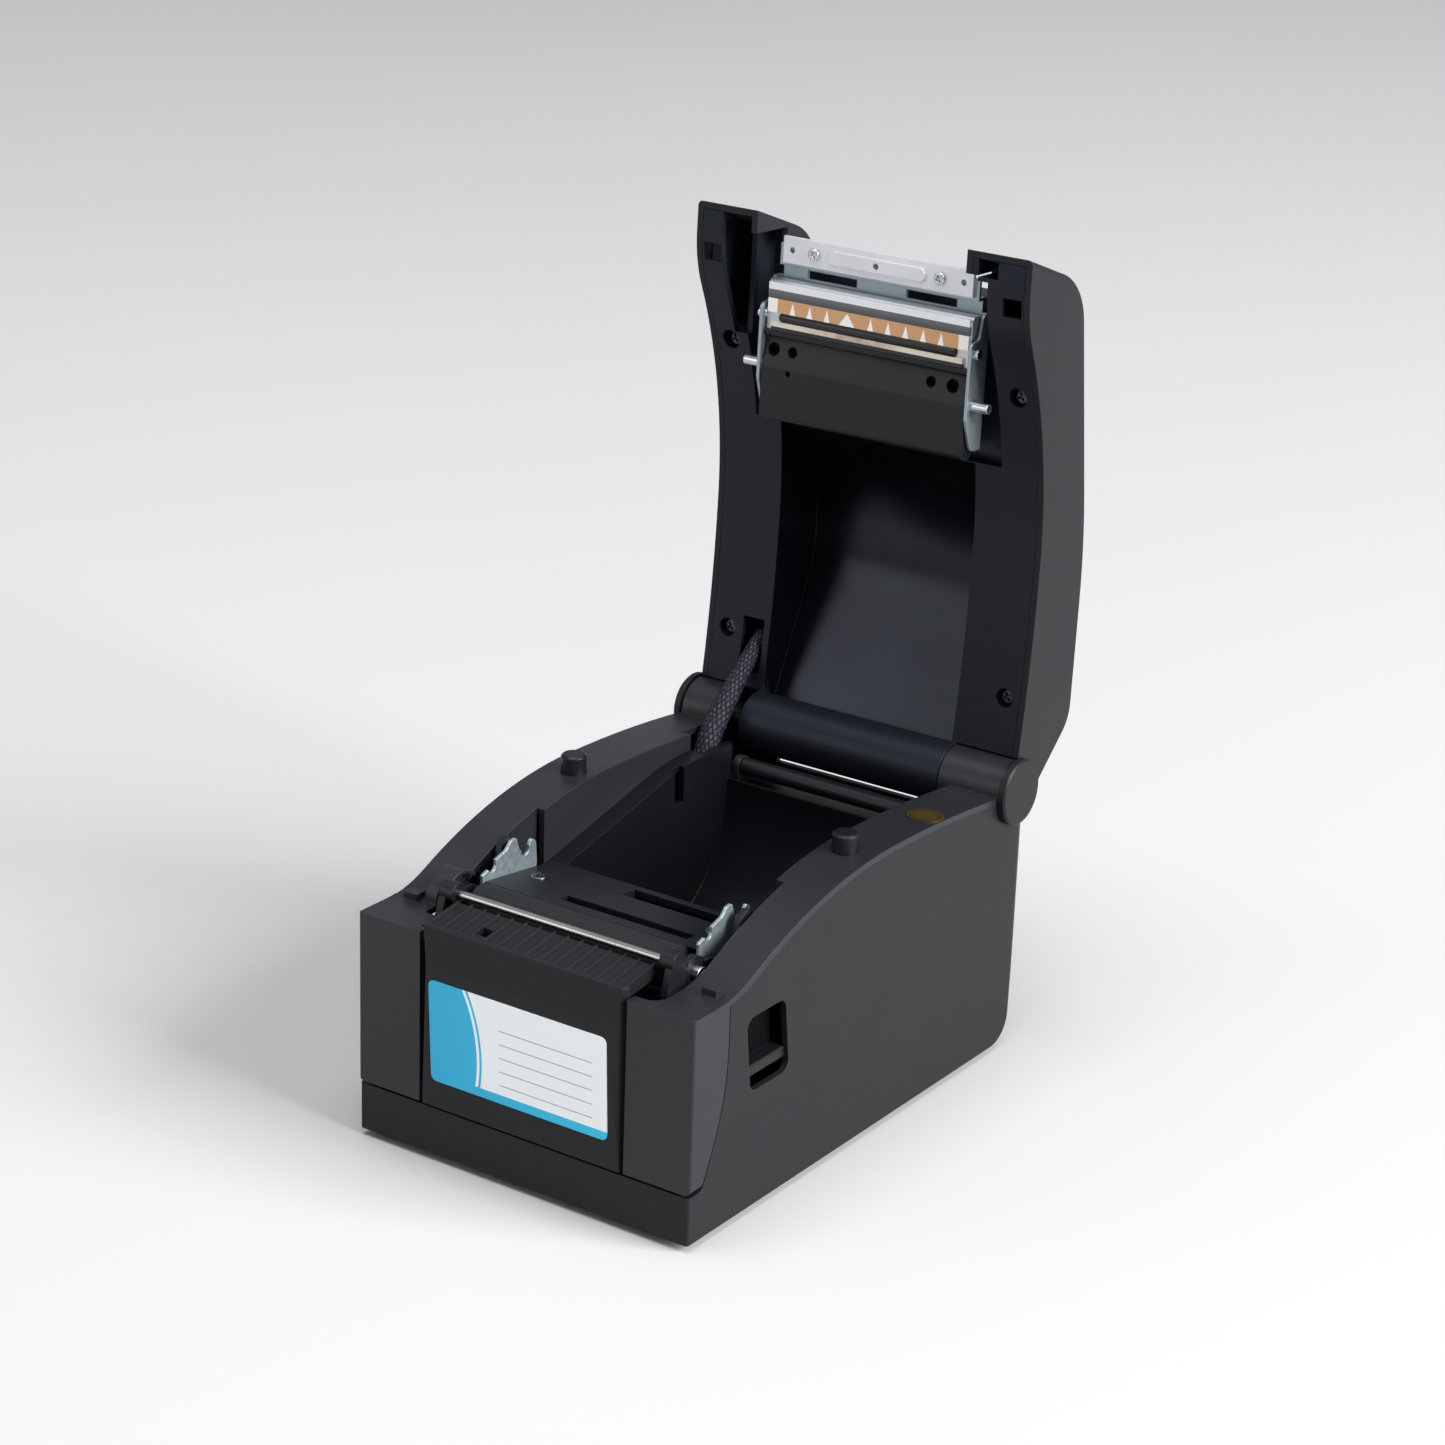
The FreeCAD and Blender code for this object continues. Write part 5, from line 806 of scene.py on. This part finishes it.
def release_pull(side, sign):
    low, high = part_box("release_button_" + side)
    outer = high.x if sign > 0 else low.x
    inner = outer - sign * BUTTON_DEPTH
    near, far = sorted((inner, outer + sign * BEYOND))
    above = block((near, low.y - BEYOND, low.z + LEDGE_TOP), (far, high.y + BEYOND, high.z + BEYOND))
    for corner in above.data.vertices:
        if corner.co.z < low.z + LEDGE_TOP + MM and abs(corner.co.x - inner) > MM:
            corner.co.z -= LEDGE_SLOPE * (BEYOND + BUTTON_DEPTH) / BUTTON_DEPTH
    below = block((near, low.y - BEYOND, low.z - BEYOND), (far, high.y + BEYOND, low.z + LEDGE_FOOT))
    pull = cut_copy("release_button_" + side, "release_pull_" + side, "release_" + side, [above, below])
    # Painted shade: the deep face behind the ledge takes the near-black finish.
    pull.data.materials.append(finishes["pocket"])
    for face in pull.data.polygons:
        face.material_index = int(abs(face.center.x - inner) < SAME_PLANE)


release_pull("left", -1)
release_pull("right", 1)

# %% [markdown]
# ## The cover's mouth and roll pocket
# The walls beside the cover's mouth stop short of the tear plate, so that its ends show. A copy of the shell
# and one of the liner are each cut by two blocks. The blocks are drawn with the cover shut, where their
# sides are square, and swung open with it. The pocket over the label roll is polished, so its faces get a
# glossier finish than the rails beside it. They also get a much darker colour, which is painted shade in the
# deep pocket.

# %% Cut the mouth and polish the pocket
MOUTH_FROM, MOUTH_TO, MOUTH_ROOF = -198.0 * MM, -192.5 * MM, 2.0 * MM
WALL_IN, WALL_OUT = 45.9 * MM, 51.2 * MM
BOWL_HALF, BOWL_FRONT, BOWL_REAR = 44.2 * MM, -150.0 * MM, -14.0 * MM
swing = Matrix.Translation(hinge) @ Matrix.Rotation(-open_turn, 4, "X")
to_shut = swing.inverted()


def mouth_blocks():
    """Blocks at the two ends of the cover's mouth, reaching from the table to the mouth's roof."""
    blocks = []
    for sign in (-1, 1):
        near, far = sorted((sign * WALL_IN, sign * WALL_OUT))
        cutter = block((near, MOUTH_FROM, -hinge.z), (far, MOUTH_TO, MOUTH_ROOF))
        cutter.data.transform(swing)
        blocks.append(cutter)
    return blocks


cut_copy("cover_shell", "cover_skin", "cover", mouth_blocks())
liner = cut_copy("cover_liner", "cover_inside", "cover", mouth_blocks())
# The pocket's faces take the glossy finish, whose darker colour is painted shade.
liner.data.materials.append(finishes["bowl"])
for face in liner.data.polygons:
    spot = to_shut @ face.center
    face.material_index = int(abs(spot.x) < BOWL_HALF and BOWL_FRONT < spot.y < BOWL_REAR)
print("polished:", sum(face.material_index for face in liner.data.polygons), "faces")

# %% [markdown]
# ## The resin bead
# A bead of black resin covers the bonds on the head's face. Resin runs, so it is half round and its ends
# are too. It is turned from a cylinder: both end rims are bevelled, and then the half that would lie inside
# the head is cut off.

# %% Run the bead
BEAD_R, BEAD_TRIM = 1.85 * MM, 3.0 * MM
BEAD_SIDES, BEAD_ROUND, BEAD_STEPS = 40, 0.85, 6
BEAD_SMOOTH = math.radians(40)


def round_bead():
    """A cylinder along X with rounded ends, sunk to its axis in the head's face."""
    low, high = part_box("resin_bead")
    clear_selection()
    bpy.ops.mesh.primitive_cylinder_add(vertices=BEAD_SIDES, radius=BEAD_R,
                                        depth=high.x - low.x - 2 * BEAD_TRIM,
                                        location=((low.x + high.x) / 2, high.y, (low.z + high.z) / 2),
                                        rotation=(0, math.pi / 2, 0))
    bead = bpy.context.object
    bead.name = "resin_line"
    bpy.ops.object.transform_apply(location=True, rotation=True, scale=True)
    bpy.ops.object.mode_set(mode="EDIT")
    bpy.ops.mesh.select_all(action="DESELECT")
    shape = bmesh.from_edit_mesh(bead.data)
    for edge in shape.edges:
        first, second = edge.verts
        edge.select_set(abs(first.co.x - second.co.x) < TOUCHING)
    bmesh.update_edit_mesh(bead.data)
    bpy.ops.mesh.bevel(offset=BEAD_ROUND * BEAD_R, segments=BEAD_STEPS, affect="EDGES")
    bpy.ops.mesh.select_all(action="SELECT")
    bpy.ops.mesh.bisect(plane_co=(0, high.y, 0), plane_no=(0, 1, 0), use_fill=True, clear_outer=True)
    bpy.ops.object.mode_set(mode="OBJECT")
    bpy.ops.object.shade_smooth_by_angle(angle=BEAD_SMOOTH)
    bead.data.materials.clear()
    bead.data.materials.append(finishes["resin"])
    return bead


bead = round_bead()
stand_for(bead, "resin_bead", "printhead")
print("bead", len(bead.data.polygons), "faces")

# %% [markdown]
# ## The harness's line
# The leads to the print head run in a braided sleeve from the base up into the cover. The sleeve's middle
# line is one smooth spline. It is steered by a few listed points, given in millimetres behind and above the
# hinge.

# %% Draw the line
HARNESS_X, HARNESS_R = -51.5 * MM, 4.8 * MM
HARNESS_ROUTE = ((-30.0, -18.5), (-27.4, -4.1), (-7.5, 15.8), (11.5, 33.0))
LINE_STEPS, LINE_ORDER = 60, 3


def smooth_line(points):
    """Points along a NURBS curve that the given points steer."""
    curve = bpy.data.curves.new("harness_line", "CURVE")
    curve.dimensions = "3D"
    curve.resolution_u = LINE_STEPS
    spline = curve.splines.new("NURBS")
    spline.points.add(len(points) - 1)
    for knot, point in zip(spline.points, points):
        knot.co = (*point, 1.0)
    spline.order_u = LINE_ORDER
    spline.use_endpoint_u = True
    holder = bpy.data.objects.new("harness_line", curve)
    bpy.context.scene.collection.objects.link(holder)
    bpy.context.view_layer.update()
    line = [v.co.copy() for v in bpy.data.meshes.new_from_object(holder).vertices]
    bpy.data.objects.remove(holder)
    return line


harness_points = [Vector((HARNESS_X, hinge.y + y * MM, hinge.z + z * MM)) for y, z in HARNESS_ROUTE]
harness_line = smooth_line(harness_points)
print("harness line:", len(harness_line), "points")

# %% [markdown]
# ## The braid
# The sleeve is a tube about that line. Two sets of strands wind round it in opposite directions and pass
# over and under each other. A bump map could draw them, but worked into the radius they stand out in the
# mesh too. The sleeve grows thinner as it enters the cover.

# %% Braid the sleeve
WEAVE_RUN, STRANDS, SLEEVE_SIDES = 7.5, 14, 168
VALLEY = 0.93
TAPER, TAPER_FROM, TAPER_POWER = 0.42, 0.35, 1.2


def strand_crest(angle, run):
    """Height of the upper strand, 0 to 1, at an angle round the sleeve and a run along it."""
    first, second = STRANDS * angle + run, STRANDS * angle - run
    weave = math.cos((first + second) / 2) * math.cos((first - second) / 2)
    return max(math.cos(first) * (0.5 + 0.5 * weave), math.cos(second) * (0.5 - 0.5 * weave), 0.0)


def sleeve_mesh(line, lengths, radius):
    """Rings of points about a line, closed at both ends, with a UV map round and along the sleeve."""
    sides, last = SLEEVE_SIDES, len(line) - 1
    verts, faces = [], []
    side = Vector((1, 0, 0))
    for i, point in enumerate(line):
        ahead = (line[min(i + 1, last)] - line[max(i - 1, 0)]).normalized()
        out = ahead.cross(side).normalized()
        inward = max(0.0, (lengths[i] / lengths[-1] - TAPER_FROM) / (1.0 - TAPER_FROM))
        size = radius * (1.0 - TAPER * inward ** TAPER_POWER)
        for j in range(sides):
            angle = 2 * math.pi * j / sides
            crest = strand_crest(angle, WEAVE_RUN * lengths[i] / radius)
            reach = size * (VALLEY + (1.0 - VALLEY) * crest)
            verts.append(point + (side * math.cos(angle) + out * math.sin(angle)) * reach)
    for i in range(last):
        for j in range(sides):
            k = (j + 1) % sides
            faces.append((i * sides + j, i * sides + k, (i + 1) * sides + k, (i + 1) * sides + j))
    faces.append(tuple(reversed(range(sides))))
    faces.append(tuple(last * sides + j for j in range(sides)))
    mesh = bpy.data.meshes.new("harness")
    mesh.from_pydata(verts, [], faces)
    layer = mesh.uv_layers.new(name="along")
    for loop in mesh.loops:
        i, j = divmod(loop.vertex_index, sides)
        layer.data[loop.index].uv = (j / sides, lengths[i] / radius)
    mesh.validate()
    return mesh


line_lengths = [0.0]
for here, there in zip(harness_line, harness_line[1:]):
    line_lengths.append(line_lengths[-1] + (there - here).length)
harness = bpy.data.objects.new("harness", sleeve_mesh(harness_line, line_lengths, HARNESS_R))
bpy.context.scene.collection.objects.link(harness)
activate(harness)
bpy.ops.object.mode_set(mode="EDIT")
bpy.ops.mesh.select_all(action="SELECT")
bpy.ops.mesh.normals_make_consistent(inside=False)
bpy.ops.object.mode_set(mode="OBJECT")
bpy.ops.object.shade_smooth()

# %% [markdown]
# ## The yarn
# The yarn is black with blue-grey flecks where strands cross. The flecks follow the sleeve's own UV map, so
# they stay on the strands. The harness is a cord with both ends inside the printer.

# %% Colour the harness
YARN_BLACK, YARN_FLECK = (0.0055, 0.0055, 0.0085), (0.062, 0.066, 0.108)
YARN_GLOSS, YARN_SHINE = (0.5, 0.7), 0.2
CROSSING = (0.25, 0.75)
WEAR_SCALE, WEAR_EDGE = 700.0, (0.40, 0.55)


def braid_yarn():
    material, tree, shader = new_material("braid_yarn")
    split = tree.nodes.new("ShaderNodeSeparateXYZ")
    tree.links.new(tree.nodes.new("ShaderNodeUVMap").outputs["UV"], split.inputs[0])
    around = calc(tree, "MULTIPLY", split.outputs["X"], float(STRANDS))
    run = calc(tree, "MULTIPLY", split.outputs["Y"], WEAVE_RUN / (2 * math.pi))
    first = calc(tree, "FRACT", calc(tree, "ADD", around, run))
    second = calc(tree, "FRACT", calc(tree, "SUBTRACT", around, run))
    weave = calc(tree, "MULTIPLY", inside(tree, first, *CROSSING), inside(tree, second, *CROSSING))
    worn = remap(tree, object_noise(tree, WEAR_SCALE), WEAR_EDGE, UNIT)
    flecks = calc(tree, "MULTIPLY", weave, worn)
    tree.links.new(mix_colour(tree, flecks, YARN_BLACK, YARN_FLECK), shader.inputs["Base Color"])
    tree.links.new(remap(tree, worn, UNIT, YARN_GLOSS), shader.inputs["Roughness"])
    shader.inputs["Specular IOR Level"].default_value = YARN_SHINE
    return material


harness.data.materials.append(braid_yarn())
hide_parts("harness_sleeve")
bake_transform(harness)

# %% [markdown]
# ## The floor's finish
# The floor is pale and matt, with a barely visible change of tone.

# %% Finish the floor
FLOOR_DARK, FLOOR_PALE = (0.44, 0.44, 0.44), (0.47, 0.47, 0.47)
FLOOR_TONE, FLOOR_ROUGH = 1.2, 0.8
floor_material, tree, shader = new_material("pale_sweep")
tone = object_noise(tree, FLOOR_TONE)
tree.links.new(mix_colour(tree, tone, FLOOR_DARK, FLOOR_PALE), shader.inputs["Base Color"])
shader.inputs["Roughness"].default_value = FLOOR_ROUGH
floor.data.materials.append(floor_material)
print("floor finished")
